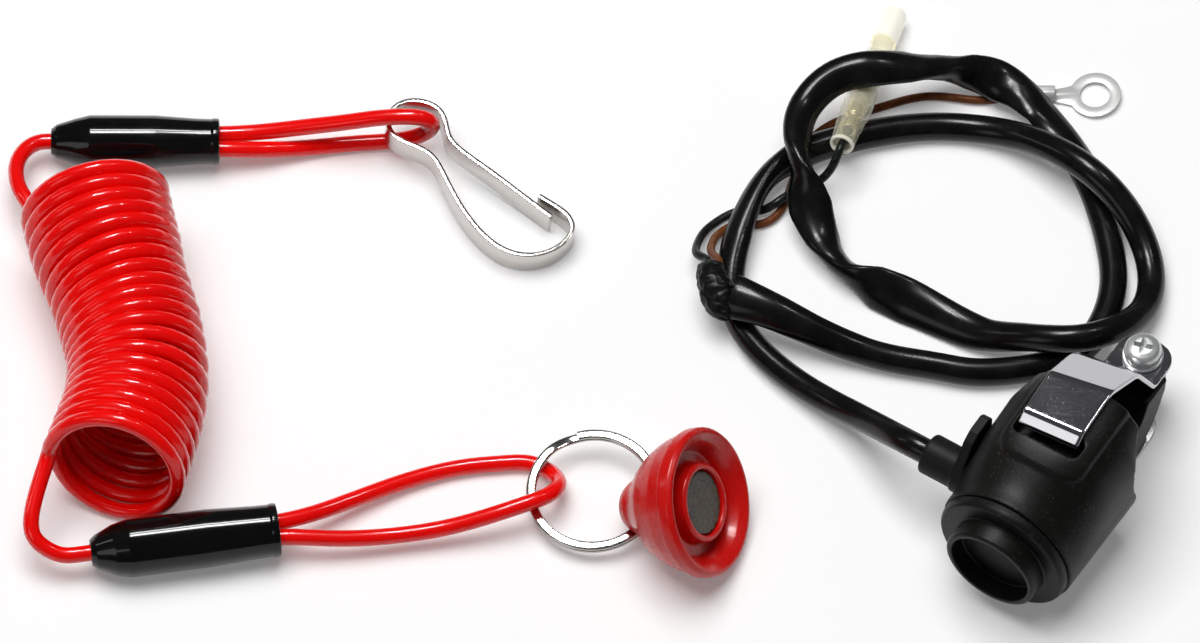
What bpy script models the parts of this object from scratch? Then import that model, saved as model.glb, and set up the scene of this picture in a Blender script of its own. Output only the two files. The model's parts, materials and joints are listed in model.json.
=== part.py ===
"""A magnetic tether kill switch for a motorbike: the switch with its handlebar clamp and cable,
and the curly tether with its snap hook, split ring and pull-off magnet cap, laid out on a table."""

import math

import bmesh
import bpy
import numpy as np
from mathutils import Matrix, Vector

MM = 0.001

# Clearances
GAP = 0.3 * MM  # between pieces that touch
SLIDE_GAP = 0.4 * MM  # round the sliding contact plate

# Handlebar and clamp
BAR_D = 22.2 * MM
SADDLE_CLEARANCE = 0.3 * MM
BAR_Y = 45.6 * MM  # the bar's centre, behind the nose face
BAR_Z = 21.5 * MM  # and above the table

# Barrel of the switch, a turned body that lies along the switch's own Y axis
BARREL_AXIS_Z = 17.6 * MM
BARREL_FRONT_R = 16.8 * MM
BARREL_REAR_R = 17.4 * MM
BARREL_REAR_Y = 35.5 * MM
BARREL_FILLET = 1.2 * MM
BORE_R = 13.4 * MM
BORE_DEPTH_Y = 27.5 * MM
CARRIER_STEP_R = 12.2 * MM

# Front bezel with the nose that the cap fits over
NOSE_R = 11.6 * MM
NOSE_LENGTH = 4.9 * MM
NOSE_RECESS_R = 10.0 * MM
NOSE_RECESS_DEPTH = 4.5 * MM
NOSE_FLOOR = 1.2 * MM
BEZEL_R = 16.3 * MM
BEZEL_FLANGE = 2.6 * MM
BEZEL_PLUG_WALL = 2.0 * MM

# Contact plate, its spring and the contacts behind it
PLATE_T = 1.6 * MM
PLATE_TRAVEL = 1.1 * MM
PLATE_REST_Y = 9.2 * MM  # front face of the plate at rest
SPRING_R = 6.0 * MM
SPRING_WIRE_R = 0.3 * MM
SPRING_TURNS = 3
CARRIER_T = 4.0 * MM
CONTACT_R = 1.5 * MM
CONTACT_SPACING = 10.0 * MM
CONTACT_PROUD = 1.4 * MM
TERMINAL_LENGTH = 4.0 * MM

# Raised saddle block on top of the barrel
HUMP_HALF_WIDTH = 11.0 * MM
HUMP_TOP_Z = 39.2 * MM
HUMP_FRONT_Y = 17.0 * MM
HUMP_RAMP = 8.0 * MM
HUMP_REAR_Y = 42.4 * MM
HUMP_FILLET = 2.6 * MM

# Rear arm that carries the clamp screw
ARM_HALF_WIDTH = 7.5 * MM
ARM_OUTER_R = 21.7 * MM
ARM_CENTRE_Y = 44.0 * MM
ARM_PAD_Z = 18.0 * MM
ARM_FLOOR_Z = 0.3 * MM
SCREW_Y = 66.0 * MM
SCREW_BOSS_R = 5.4 * MM
SCREW_BOSS_BOTTOM_Z = 7.0 * MM

# Strap of sprung steel over the bar
STRAP_T = 1.2 * MM
STRAP_WIDTH = 15.0 * MM
STRAP_BEND_R = 1.6 * MM
STRAP_HOOK_Y = 27.4 * MM
STRAP_HOOK_DEPTH = 4.4 * MM
STRAP_SLOPE_Y = 42.8 * MM
STRAP_KNEE_Y = 53.2 * MM
STRAP_KNEE_Z = 33.6 * MM
STRAP_FOOT_Y = 60.3 * MM
STRAP_END_Y = 73.4 * MM
STRAP_END_R = 4.6 * MM
SLOT_FRONT_Y = 23.8 * MM
SLOT_FLOOR_CLEARANCE = 0.6 * MM

# Clamp screw, washer and nut
SCREW_R = 2.5 * MM
SCREW_HEAD_R = 4.3 * MM
SCREW_HEAD_H = 3.4 * MM
SCREW_LENGTH = 18.0 * MM
WASHER_R = 4.7 * MM
WASHER_T = 1.0 * MM
NUT_AF = 8.0 * MM
NUT_T = 4.0 * MM
NUT_PROUD = 1.0 * MM

# Cable gland on the side of the barrel
GLAND_Y = 18.7 * MM
GLAND_PLATE_T = 2.4 * MM
GLAND_PLATE_LENGTH = 20.0 * MM
GLAND_PLATE_HEIGHT = 22.0 * MM
GLAND_PAD_X = 16.6 * MM
GLAND_COLLAR_R = 4.8 * MM
GLAND_REACH = 27.8 * MM
GLAND_SPIGOT = 2.5 * MM
GLAND_SOCKET = 3.0 * MM

# Cable
SLEEVE_D = 6.1 * MM
WIRE_D = 2.0 * MM
TAPE_D = 7.2 * MM
TAPE_TAPER = 0.16  # how much thinner the wrapped bundle is at its ends
BULLET_D = 6.0 * MM
BULLET_LENGTH = 44.0 * MM
BULLET_WALL = 0.7 * MM
RECEPTACLE_LENGTH = 22.0 * MM
RING_TERMINAL_D = 12.0 * MM
RING_TERMINAL_HOLE = 6.5 * MM
RING_TERMINAL_T = 0.9 * MM
RING_TERMINAL_BARREL_D = 4.0 * MM
RING_TERMINAL_BARREL = 6.5 * MM

# Tether
CORD_D = 3.8 * MM
COIL_D = 33.0 * MM
BOOT_WALL = 1.1 * MM
BOOT_BUTT_LENGTH = 9.0 * MM
UPPER_BOOT_LENGTH = 38.4 * MM
UPPER_BOOT_D = 12.2 * MM
UPPER_BOOT_MOUTH_D = 10.6 * MM
LOWER_BOOT_LENGTH = 42.7 * MM
LOWER_BOOT_D = 13.4 * MM
LOWER_BOOT_MOUTH_D = 12.4 * MM
FERRULE_LENGTH = 12.0 * MM
FERRULE_WALL = 0.45 * MM
FERRULE_DEPTH = 10.0 * MM  # from the boot's mouth to the ferrule

# Snap hook, one bent strip
HOOK_STRIP_W = 6.5 * MM
HOOK_STRIP_T = 1.1 * MM
HOOK_TILT = math.radians(4.9)
HOOK_HEADING = math.radians(134.1)

# Split ring
RING_MEAN_R = 14.1 * MM
RING_STRIP_W = 2.2 * MM
RING_STRIP_T = 0.9 * MM
RING_TURN_GAP = 0.12 * MM
RING_TILT = math.radians(6.0)
RING_LIFT = math.radians(3.0)

# Magnet cap
CAP_R = 17.0 * MM
CAP_LENGTH = 23.3 * MM
CAP_LIP_DEPTH = 3.8 * MM
CAP_LIP_WALL = 1.5 * MM
CAP_GROOVE_PLAY = 0.4 * MM  # round the switch's nose
CAP_GROOVE_DEPTH = 5.4 * MM
CAP_BOSS_PLAY = 1.0 * MM  # round the boss, in the nose's recess
CAP_LUG_HOLE_R = 2.3 * MM
CAP_LUG_HOLE_Y = 4.6 * MM
CAP_LUG_HOLE_DROP = 2.7 * MM
CAP_LUG_HOLE_TURN = math.radians(12.0)
CAP_RISE = math.radians(29.5)
CAP_HEADING = math.radians(-16.0)
MAGNET_R = 7.2 * MM
MAGNET_T = 5.0 * MM
MAGNET_INSET = 0.8 * MM

# Where each group lies on the table
SWITCH_AT = Vector((87.4, -77.6, 0.0)) * MM
SWITCH_HEADING = math.radians(-32.3)
HOOK_AT = Vector((-11.0, 15.0, 0.0)) * MM
RING_AT = Vector((-1.5, -49.0, 5.5)) * MM
CAP_TIP_AT = Vector((5.4, -53.7, 5.8)) * MM
UPPER_BOOT_AT = Vector((-125.2, 44.7, 6.3)) * MM
UPPER_BOOT_HEADING = 0.0
LOWER_BOOT_AT = Vector((-114.8, -66.3, 6.9)) * MM
LOWER_BOOT_HEADING = math.radians(8.3)
BULLET_AT = Vector((55.0, 40.2, 11.6)) * MM
BULLET_HEADING = math.radians(73.0)
BULLET_DIP = math.radians(10.9)
RING_TERMINAL_AT = Vector((112.7, 60.8, 0.05)) * MM
TABLE_SHIFT = Vector((-41.05, 14.7, 0.0)) * MM

SIDES = 40
COIL_SIDES = 8


def clear_scene():
    for item in list(bpy.data.objects):
        bpy.data.objects.remove(item, do_unlink=True)


clear_scene()
parts = bpy.data.collections.new("magnetic_kill_switch")
cutters = bpy.data.collections.new("cutters")
bpy.context.scene.collection.children.link(parts)
bpy.context.scene.collection.children.link(cutters)


def material(name, colour, roughness, metallic=0.0, coat=0.0, alpha=1.0):
    made = bpy.data.materials.new(name)
    made.use_nodes = True
    shader = made.node_tree.nodes["Principled BSDF"]
    shader.inputs["Base Color"].default_value = (*colour, 1.0)
    shader.inputs["Roughness"].default_value = roughness
    shader.inputs["Metallic"].default_value = metallic
    shader.inputs["Coat Weight"].default_value = coat
    shader.inputs["Alpha"].default_value = alpha
    return made


BLACK_PLASTIC = material("black_plastic", (0.030, 0.029, 0.028), 0.55)
BLACK_RUBBER = material("black_rubber", (0.022, 0.021, 0.020), 0.62)
BLACK_VINYL = material("black_vinyl", (0.012, 0.012, 0.013), 0.25)
BLACK_TAPE = material("black_tape", (0.015, 0.015, 0.016), 0.35)
RED_CORD = material("red_cord", (0.72, 0.005, 0.005), 0.22)
RED_PLASTIC = material("red_plastic", (0.52, 0.010, 0.008), 0.24)
CHROME = material("chrome", (0.78, 0.77, 0.76), 0.14, 1.0)
NICKEL = material("nickel", (0.66, 0.64, 0.61), 0.22, 1.0)
ZINC = material("zinc", (0.72, 0.73, 0.73), 0.30, 1.0)
STEEL = material("steel", (0.50, 0.50, 0.50), 0.38, 1.0)
BRASS = material("brass", (0.72, 0.53, 0.22), 0.30, 1.0)
TINNED = material("tinned_copper", (0.74, 0.73, 0.70), 0.32, 1.0)
MAGNET = material("magnet", (0.055, 0.052, 0.052), 0.50, 0.3)
BROWN_WIRE = material("brown_insulation", (0.16, 0.055, 0.02), 0.40)
CLEAR_SLEEVE = material("clear_sleeve", (0.86, 0.85, 0.82), 0.25, 0.0, 0.0, 0.5)


def add(name, data, finish, parent=None):
    made = bpy.data.objects.new(name, data)
    data.materials.clear()
    data.materials.append(finish)
    parts.objects.link(made)
    made.parent = parent
    return made


def make_cutter(name, data, parent=None):
    made = bpy.data.objects.new(name, data)
    cutters.objects.link(made)
    made.parent = parent
    made.hide_render = True
    made.display_type = "WIRE"
    return made


def empty(name, location, rotation):
    made = bpy.data.objects.new(name, None)
    parts.objects.link(made)
    made.location = location
    made.rotation_euler = rotation
    return made


table = empty("table_layout", TABLE_SHIFT, (0.0, 0.0, 0.0))


def frame(name, location, rotation):
    made = empty(name, location, rotation)
    made.parent = table
    return made


def arc(centre, radius, start, end, count):
    """Points of an arc, with its angles in degrees."""
    return [
        (
            centre[0] + radius * math.cos(math.radians(a)),
            centre[1] + radius * math.sin(math.radians(a)),
        )
        for a in np.linspace(start, end, count)
    ]


def boolean(target, cutter, operation="DIFFERENCE"):
    made = target.modifiers.new(cutter.name, "BOOLEAN")
    made.operation = operation
    made.object = cutter
    made.solver = "EXACT"
    return made


def bevel(target, width, segments=2, angle=35.0):
    made = target.modifiers.new("rounding", "BEVEL")
    made.width = width
    made.segments = segments
    made.limit_method = "ANGLE"
    made.angle_limit = math.radians(angle)
    made.harden_normals = False
    return made


def smooth(data, angle=35.0):
    data.shade_smooth()
    data.set_sharp_from_angle(angle=math.radians(angle))


def turned_mesh(name, profile, steps=SIDES):
    """A closed turned body about Y from (y, radius) points that run from front to back."""
    body = bmesh.new()
    ring = [body.verts.new((radius, 0.0, -y)) for y, radius in profile]
    for first, second in zip(ring[:-1], ring[1:]):
        body.edges.new((first, second))
    data = bpy.data.meshes.new(name)
    body.to_mesh(data)
    body.free()
    holder = bpy.data.objects.new(name + "_profile", data)
    bpy.context.scene.collection.objects.link(holder)
    screw = holder.modifiers.new("turn", "SCREW")
    screw.angle = 2 * math.pi
    screw.steps = steps
    screw.render_steps = steps
    screw.use_merge_vertices = True
    screw.merge_threshold = 0.00001
    screw.use_smooth_shade = True
    bpy.context.view_layer.update()
    made = bpy.data.meshes.new_from_object(
        holder.evaluated_get(bpy.context.evaluated_depsgraph_get())
    )
    bpy.data.objects.remove(holder, do_unlink=True)
    made.name = name
    # The screw axis turns to lie along +Y, so that y counts back from the front face.
    made.transform(Matrix.Rotation(math.radians(90.0), 4, "X"))
    welded = bmesh.new()
    welded.from_mesh(made)
    bmesh.ops.remove_doubles(welded, verts=welded.verts, dist=0.000001)
    bmesh.ops.recalc_face_normals(welded, faces=welded.faces)
    welded.to_mesh(made)
    welded.free()
    smooth(made)
    return made


def curve_mesh(made, name):
    """The mesh of a curve object, with its caps welded on, and the curve taken away."""
    bpy.context.view_layer.update()
    data = bpy.data.meshes.new_from_object(
        made.evaluated_get(bpy.context.evaluated_depsgraph_get())
    )
    data.transform(made.matrix_world)
    bpy.data.objects.remove(made, do_unlink=True)
    welded = bmesh.new()
    welded.from_mesh(data)
    bmesh.ops.remove_doubles(welded, verts=welded.verts, dist=0.000005)
    bmesh.ops.recalc_face_normals(welded, faces=welded.faces)
    welded.to_mesh(data)
    welded.free()
    data.name = name
    return data


def outline_mesh(name, outlines, half_thickness):
    """A flat plate in XY from closed outlines, the later ones being holes, along Z both ways."""
    curve = bpy.data.curves.new(name, "CURVE")
    curve.dimensions = "2D"
    curve.fill_mode = "BOTH"
    curve.extrude = half_thickness
    for points in outlines:
        spline = curve.splines.new("POLY")
        spline.points.add(len(points) - 1)
        for target, point in zip(spline.points, points):
            target.co = (point[0], point[1], 0.0, 1.0)
        spline.use_cyclic_u = True
    holder = bpy.data.objects.new(name + "_outline", curve)
    bpy.context.scene.collection.objects.link(holder)
    return curve_mesh(holder, name)


def side_plate(name, points, half_width):
    """An outline in the switch's YZ plane, as thick as half_width to both sides of X."""
    data = outline_mesh(name, [points], half_width)
    turn = Matrix(((0, 0, 1, 0), (1, 0, 0, 0), (0, 1, 0, 0), (0, 0, 0, 1)))
    data.transform(turn)
    return data


def cylinder_mesh(name, radius, length, sides=32):
    body = bmesh.new()
    bmesh.ops.create_cone(
        body,
        cap_ends=True,
        segments=sides,
        radius1=radius,
        radius2=radius,
        depth=length,
    )
    data = bpy.data.meshes.new(name)
    body.to_mesh(data)
    body.free()
    smooth(data)
    return data


def box_mesh(name, size):
    body = bmesh.new()
    bmesh.ops.create_cube(body, size=1.0, matrix=Matrix.Diagonal((*size, 1.0)))
    data = bpy.data.meshes.new(name)
    body.to_mesh(data)
    body.free()
    return data


def smooth_path(route, step):
    """Evenly spaced points of the natural cubic spline through a route, as numpy rows."""
    route = np.array(route, float)
    count = len(route)
    spans = np.sqrt(np.linalg.norm(np.diff(route, axis=0), axis=1))
    knots = np.concatenate([[0.0], np.cumsum(spans)])
    gaps = np.diff(knots)
    system = np.zeros((count, count))
    rates = np.zeros((count, 3))
    system[0, 0] = system[-1, -1] = 1.0
    for i in range(1, count - 1):
        system[i, i - 1] = gaps[i - 1]
        system[i, i] = 2.0 * (gaps[i - 1] + gaps[i])
        system[i, i + 1] = gaps[i]
        slope_after = (route[i + 1] - route[i]) / gaps[i]
        slope_before = (route[i] - route[i - 1]) / gaps[i - 1]
        rates[i] = 6.0 * (slope_after - slope_before)
    second = np.linalg.solve(system, rates)
    samples = []
    for t in np.linspace(0.0, knots[-1], 40 * count):
        i = min(int(np.searchsorted(knots, t, side="right")) - 1, count - 2)
        a, b, h = knots[i + 1] - t, t - knots[i], gaps[i]
        samples.append(
            (second[i] * a**3 + second[i + 1] * b**3) / (6.0 * h)
            + (route[i] / h - second[i] * h / 6.0) * a
            + (route[i + 1] / h - second[i + 1] * h / 6.0) * b
        )
    samples = np.array(samples)
    along = np.concatenate([[0.0], np.cumsum(np.linalg.norm(np.diff(samples, axis=0), axis=1))])
    stations = np.linspace(0.0, along[-1], max(2, round(along[-1] / step) + 1))
    return np.stack([np.interp(stations, along, samples[:, k]) for k in range(3)], axis=1)


def poly_curve(name, points, radius, resolution=2):
    curve = bpy.data.curves.new(name, "CURVE")
    curve.dimensions = "3D"
    curve.bevel_depth = radius
    curve.bevel_resolution = resolution
    curve.use_fill_caps = True
    spline = curve.splines.new("POLY")
    spline.points.add(len(points) - 1)
    for target, point in zip(spline.points, points):
        target.co = (*point, 1.0)
    spline.use_smooth = True
    return curve


def tube(name, points, radius, finish, resolution=2, parent=table):
    return add(name, poly_curve(name, points, radius, resolution), finish, parent)


def strip_curve(name, points, width, thickness):
    """A flat strip that stands on edge, bent along points; width is upright."""
    section = bpy.data.curves.new(name + "_section", "CURVE")
    section.dimensions = "2D"
    corner = section.splines.new("POLY")
    corner.points.add(3)
    half_t, half_w = thickness / 2, width / 2
    for target, point in zip(
        corner.points, ((-half_t, half_w), (half_t, half_w), (half_t, -half_w), (-half_t, -half_w))
    ):
        target.co = (point[0], point[1], 0.0, 1.0)
    corner.use_cyclic_u = True
    guide = make_cutter(name + "_section", section)
    curve = poly_curve(name, points, 0.0)
    curve.bevel_mode = "OBJECT"
    curve.bevel_object = guide
    curve.twist_mode = "Z_UP"
    return curve


def line_up(direction):
    """The rotation that takes +Z to a direction."""
    return Vector(direction).to_track_quat("Z", "Y").to_euler()


# The switch: X along the handlebar, Y back from the nose face, Z up from the table.
switch = frame("switch_frame", SWITCH_AT, (0.0, 0.0, SWITCH_HEADING))
barrel_axis = empty("barrel_axis", (0.0, 0.0, BARREL_AXIS_Z), (0.0, 0.0, 0.0))
barrel_axis.parent = switch

bezel_rear_y = NOSE_LENGTH + BEZEL_FLANGE
barrel_front_y = bezel_rear_y + GAP
saddle_r = BAR_D / 2 + SADDLE_CLEARANCE

housing = add(
    "switch_housing",
    turned_mesh(
        "switch_housing",
        [
            (barrel_front_y, 0.0),
            (barrel_front_y, BARREL_FRONT_R - BARREL_FILLET / 2),
            (barrel_front_y + BARREL_FILLET / 2, BARREL_FRONT_R),
            (BARREL_REAR_Y - BARREL_FILLET, BARREL_REAR_R),
            (BARREL_REAR_Y - BARREL_FILLET * 0.3, BARREL_REAR_R - BARREL_FILLET * 0.3),
            (BARREL_REAR_Y, BARREL_REAR_R - BARREL_FILLET),
            (BARREL_REAR_Y, 0.0),
        ],
    ),
    BLACK_PLASTIC,
    barrel_axis,
)

# The raised block: a ramp up from the barrel, a flat top, and a lip over the bar.
ramp_foot_z = BARREL_AXIS_Z + BARREL_FRONT_R - 1.5 * MM
ramp_top_y = HUMP_FRONT_Y + HUMP_RAMP
ramp = [
    (
        HUMP_FRONT_Y + HUMP_RAMP * t,
        ramp_foot_z + (HUMP_TOP_Z - ramp_foot_z) * (3 * t * t - 2 * t**3),
    )
    for t in np.linspace(0.0, 1.0, 7)
]
hump_outline = (
    [(HUMP_FRONT_Y, BARREL_AXIS_Z)]
    + ramp
    + arc((HUMP_REAR_Y - HUMP_FILLET / 2, HUMP_TOP_Z - HUMP_FILLET / 2), HUMP_FILLET / 2, 90, 0, 4)
    + [(HUMP_REAR_Y, BARREL_AXIS_Z)]
)
hump = make_cutter(
    "saddle_block", side_plate("saddle_block", hump_outline[::-1], HUMP_HALF_WIDTH), switch
)
bevel(hump, HUMP_FILLET, 3, 50.0)
boolean(housing, hump, "UNION")

# The arm: under the bar and up behind it, with a round end in plan.
arm_outline = (
    [(BARREL_REAR_Y - 8 * MM, ARM_FLOOR_Z)]
    + arc((ARM_CENTRE_Y, ARM_FLOOR_Z + ARM_OUTER_R), ARM_OUTER_R, -90, -12, 12)
    + [(ARM_CENTRE_Y + ARM_OUTER_R, ARM_PAD_Z), (BARREL_REAR_Y - 8 * MM, ARM_PAD_Z)]
)
arm = make_cutter("rear_arm", side_plate("rear_arm", arm_outline, ARM_HALF_WIDTH), switch)
bevel(arm, 1.2 * MM, 2, 50.0)
boolean(housing, arm, "UNION")
boss = make_cutter(
    "screw_boss",
    cylinder_mesh("screw_boss", SCREW_BOSS_R, ARM_PAD_Z - SCREW_BOSS_BOTTOM_Z, 32),
    switch,
)
boss.location = (0.0, SCREW_Y, (ARM_PAD_Z + SCREW_BOSS_BOTTOM_Z) / 2)
boolean(housing, boss, "UNION")

saddle = make_cutter(
    "bar_saddle", cylinder_mesh("bar_saddle", saddle_r, 4 * HUMP_HALF_WIDTH, 56), switch
)
saddle.location = (0.0, BAR_Y, BAR_Z)
saddle.rotation_euler = (0.0, math.radians(90.0), 0.0)
boolean(housing, saddle)
saddle_mouth = make_cutter(
    "saddle_mouth",
    box_mesh("saddle_mouth", (4 * HUMP_HALF_WIDTH, 2 * saddle_r, 2 * saddle_r)),
    switch,
)
saddle_mouth.location = (0.0, HUMP_REAR_Y + 0.5 * MM + saddle_r, BAR_Z + saddle_r)
boolean(housing, saddle_mouth)

gland_pad = make_cutter(
    "gland_pad",
    box_mesh("gland_pad", (8 * MM, GLAND_PLATE_LENGTH - 2 * MM, GLAND_PLATE_HEIGHT - 4 * MM)),
    switch,
)
gland_pad.location = (-GLAND_PAD_X + 4 * MM, GLAND_Y, BARREL_AXIS_Z + 2 * MM)
boolean(housing, gland_pad, "UNION")

carrier_front_y = PLATE_REST_Y + PLATE_T + GAP + CONTACT_PROUD
carrier_rear_y = carrier_front_y + CARRIER_T
bore = make_cutter(
    "mechanism_bore",
    turned_mesh(
        "mechanism_bore",
        [
            (barrel_front_y - 1 * MM, 0.0),
            (barrel_front_y - 1 * MM, BORE_R),
            (carrier_rear_y + GAP, BORE_R),
            (carrier_rear_y + GAP, CARRIER_STEP_R),
            (BORE_DEPTH_Y, CARRIER_STEP_R),
            (BORE_DEPTH_Y, 0.0),
        ],
        40,
    ),
    barrel_axis,
)
boolean(housing, bore)

slot_rear_y = STRAP_HOOK_Y + STRAP_T / 2 + 1.0 * MM
slot_floor_z = HUMP_TOP_Z - STRAP_HOOK_DEPTH - SLOT_FLOOR_CLEARANCE
slot = make_cutter(
    "strap_slot",
    box_mesh(
        "strap_slot",
        (STRAP_WIDTH + 1.0 * MM, slot_rear_y - SLOT_FRONT_Y, 2 * (HUMP_TOP_Z - slot_floor_z)),
    ),
    switch,
)
slot.location = (0.0, (slot_rear_y + SLOT_FRONT_Y) / 2, HUMP_TOP_Z)
bevel(slot, 0.8 * MM, 2, 50.0)
boolean(housing, slot)

screw_hole = make_cutter(
    "screw_hole", cylinder_mesh("screw_hole", SCREW_R + GAP, 30 * MM, 24), switch
)
screw_hole.location = (0.0, SCREW_Y, ARM_PAD_Z - 10 * MM)
boolean(housing, screw_hole)
nut_bottom_z = SCREW_BOSS_BOTTOM_Z - NUT_PROUD
nut_pocket = make_cutter(
    "nut_pocket",
    cylinder_mesh("nut_pocket", (NUT_AF / 2 + GAP) / math.cos(math.pi / 6), 12 * MM, 6),
    switch,
)
nut_pocket.location = (0.0, SCREW_Y, nut_bottom_z + NUT_T + GAP - 6 * MM)
boolean(housing, nut_pocket)

# A flat on the side of the barrel takes the gland's plate and its spigot.
gland_flat = make_cutter(
    "gland_flat",
    box_mesh("gland_flat", (8 * MM, GLAND_PLATE_LENGTH + 2 * GAP, GLAND_PLATE_HEIGHT)),
    switch,
)
gland_flat.location = (-GLAND_PAD_X - 4 * MM, GLAND_Y, BARREL_AXIS_Z + 2 * MM)
boolean(housing, gland_flat)
spigot_r = GLAND_COLLAR_R - 0.6 * MM
gland_hole = make_cutter(
    "gland_hole", cylinder_mesh("gland_hole", spigot_r + GAP, 12 * MM, 32), switch
)
gland_hole.location = (-GLAND_PAD_X, GLAND_Y, BARREL_AXIS_Z + 1 * MM)
gland_hole.rotation_euler = (0.0, math.radians(90.0), 0.0)
boolean(housing, gland_hole)

bezel = add(
    "front_bezel",
    turned_mesh(
        "front_bezel",
        [
            (NOSE_RECESS_DEPTH, 0.0),
            (NOSE_RECESS_DEPTH, NOSE_RECESS_R - 0.4 * MM),
            (NOSE_RECESS_DEPTH - 0.4 * MM, NOSE_RECESS_R),
            (0.3 * MM, NOSE_RECESS_R),
            (0.0, NOSE_RECESS_R + 0.3 * MM),
            (0.0, NOSE_R - 0.6 * MM),
            (0.6 * MM, NOSE_R),
            (NOSE_LENGTH, NOSE_R),
            (NOSE_LENGTH, BEZEL_R - 1.4 * MM),
            (NOSE_LENGTH + 0.4 * MM, BEZEL_R - 0.4 * MM),
            (NOSE_LENGTH + 1.4 * MM, BEZEL_R),
            (bezel_rear_y, BEZEL_R),
            (bezel_rear_y, BORE_R - GAP),
            (carrier_front_y - GAP, BORE_R - GAP),
            (carrier_front_y - GAP, BORE_R - GAP - BEZEL_PLUG_WALL),
            (NOSE_RECESS_DEPTH + NOSE_FLOOR, BORE_R - GAP - BEZEL_PLUG_WALL),
            (NOSE_RECESS_DEPTH + NOSE_FLOOR, 0.0),
        ],
    ),
    BLACK_PLASTIC,
    barrel_axis,
)

plate_r = BORE_R - GAP - BEZEL_PLUG_WALL - SLIDE_GAP
contact_plate = add(
    "contact_plate",
    turned_mesh(
        "contact_plate",
        [
            (0.0, 0.0),
            (0.0, plate_r - 0.4 * MM),
            (0.4 * MM, plate_r),
            (PLATE_T, plate_r),
            (PLATE_T, 0.0),
        ],
        40,
    ),
    STEEL,
    barrel_axis,
)
contact_plate.location = (0.0, PLATE_REST_Y, 0.0)

spring_front_y = NOSE_RECESS_DEPTH + NOSE_FLOOR + GAP + SPRING_WIRE_R
spring_rear_y = PLATE_REST_Y - GAP - SPRING_WIRE_R
spring_points = [
    (
        SPRING_R * math.cos(2 * math.pi * SPRING_TURNS * t),
        spring_front_y + (spring_rear_y - spring_front_y) * t,
        SPRING_R * math.sin(2 * math.pi * SPRING_TURNS * t),
    )
    for t in np.linspace(0.0, 1.0, 12 * SPRING_TURNS + 1)
]
tube("return_spring", spring_points, SPRING_WIRE_R, STEEL, 1, barrel_axis)

carrier = add(
    "contact_carrier",
    turned_mesh(
        "contact_carrier",
        [
            (carrier_front_y, 0.0),
            (carrier_front_y, BORE_R - GAP),
            (carrier_rear_y, BORE_R - GAP),
            (carrier_rear_y, 0.0),
        ],
        40,
    ),
    BLACK_PLASTIC,
    barrel_axis,
)
for side, label in ((-1, "left"), (1, "right")):
    hole = make_cutter(
        "contact_hole_" + label,
        cylinder_mesh("contact_hole_" + label, CONTACT_R + GAP / 3, 3 * CARRIER_T, 24),
        barrel_axis,
    )
    hole.location = (side * CONTACT_SPACING / 2, carrier_front_y, 0.0)
    hole.rotation_euler = (math.radians(90.0), 0.0, 0.0)
    boolean(carrier, hole)
    contact = add(
        "contact_" + label,
        turned_mesh(
            "contact_" + label,
            [
                (-CONTACT_PROUD, 0.0),
                (-CONTACT_PROUD, CONTACT_R + 0.6 * MM),
                (-GAP / 3, CONTACT_R + 0.6 * MM),
                (-GAP / 3, CONTACT_R),
                (CARRIER_T + TERMINAL_LENGTH - 0.4 * MM, CONTACT_R),
                (CARRIER_T + TERMINAL_LENGTH, CONTACT_R - 0.4 * MM),
                (CARRIER_T + TERMINAL_LENGTH, 0.0),
            ],
            20,
        ),
        BRASS,
        barrel_axis,
    )
    contact.location = (side * CONTACT_SPACING / 2, carrier_front_y, 0.0)

# The strap: its path runs through the middle of the sheet, from the slot over the bar to the foot.
strap_z = HUMP_TOP_Z + GAP + STRAP_T / 2
foot_z = ARM_PAD_Z + GAP + STRAP_T / 2
strap_corners = [
    (STRAP_HOOK_Y, HUMP_TOP_Z - STRAP_HOOK_DEPTH),
    (STRAP_HOOK_Y, strap_z),
    (STRAP_SLOPE_Y, strap_z),
    (STRAP_KNEE_Y, STRAP_KNEE_Z),
    (STRAP_FOOT_Y, foot_z),
    (STRAP_END_Y, foot_z),
]


def rounded_path(corners, radius, count=4):
    """The corners' open polyline with each inner corner turned into an arc."""
    corners = [Vector(corner) for corner in corners]
    path = [corners[0]]
    for before, corner, after in zip(corners[:-2], corners[1:-1], corners[2:]):
        into, out = (corner - before).normalized(), (after - corner).normalized()
        turn = into.angle(out)
        cut = radius * math.tan(turn / 2)
        start, end = corner - into * cut, corner + out * cut
        middle = corner + (out - into).normalized() * radius / math.cos(turn / 2)
        for t in np.linspace(0.0, 1.0, count):
            path.append(middle + (start.lerp(end, t) - middle).normalized() * radius)
    path.append(corners[-1])
    return path


def sheet_mesh(name, path, width, thickness):
    """A bent sheet whose side view follows a YZ path, width along X."""
    body = bmesh.new()
    rows = [
        [body.verts.new((x, point[0], point[1])) for x in (-width / 2, width / 2)]
        for point in path
    ]
    for first, second in zip(rows[:-1], rows[1:]):
        body.faces.new((first[0], first[1], second[1], second[0]))
    data = bpy.data.meshes.new(name)
    body.to_mesh(data)
    body.free()
    return data


strap = add(
    "clamp_strap",
    sheet_mesh("clamp_strap", rounded_path(strap_corners, STRAP_BEND_R), STRAP_WIDTH, STRAP_T),
    CHROME,
    switch,
)
thicken = strap.modifiers.new("sheet", "SOLIDIFY")
thicken.thickness = STRAP_T
thicken.offset = 0.0
thicken.use_even_offset = True
half = STRAP_WIDTH / 2
plan = (
    [(-half - 1 * MM, STRAP_HOOK_Y - 5 * MM), (half + 1 * MM, STRAP_HOOK_Y - 5 * MM)]
    + [(half + 1 * MM, STRAP_FOOT_Y)]
    + arc((half - STRAP_END_R, STRAP_END_Y - STRAP_END_R), STRAP_END_R + 0.001 * MM, 0, 90, 6)
    + arc((-half + STRAP_END_R, STRAP_END_Y - STRAP_END_R), STRAP_END_R + 0.001 * MM, 90, 180, 6)
    + [(-half - 1 * MM, STRAP_FOOT_Y)]
)
strap_plan = make_cutter("strap_plan", outline_mesh("strap_plan", [plan], 30 * MM), switch)
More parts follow.
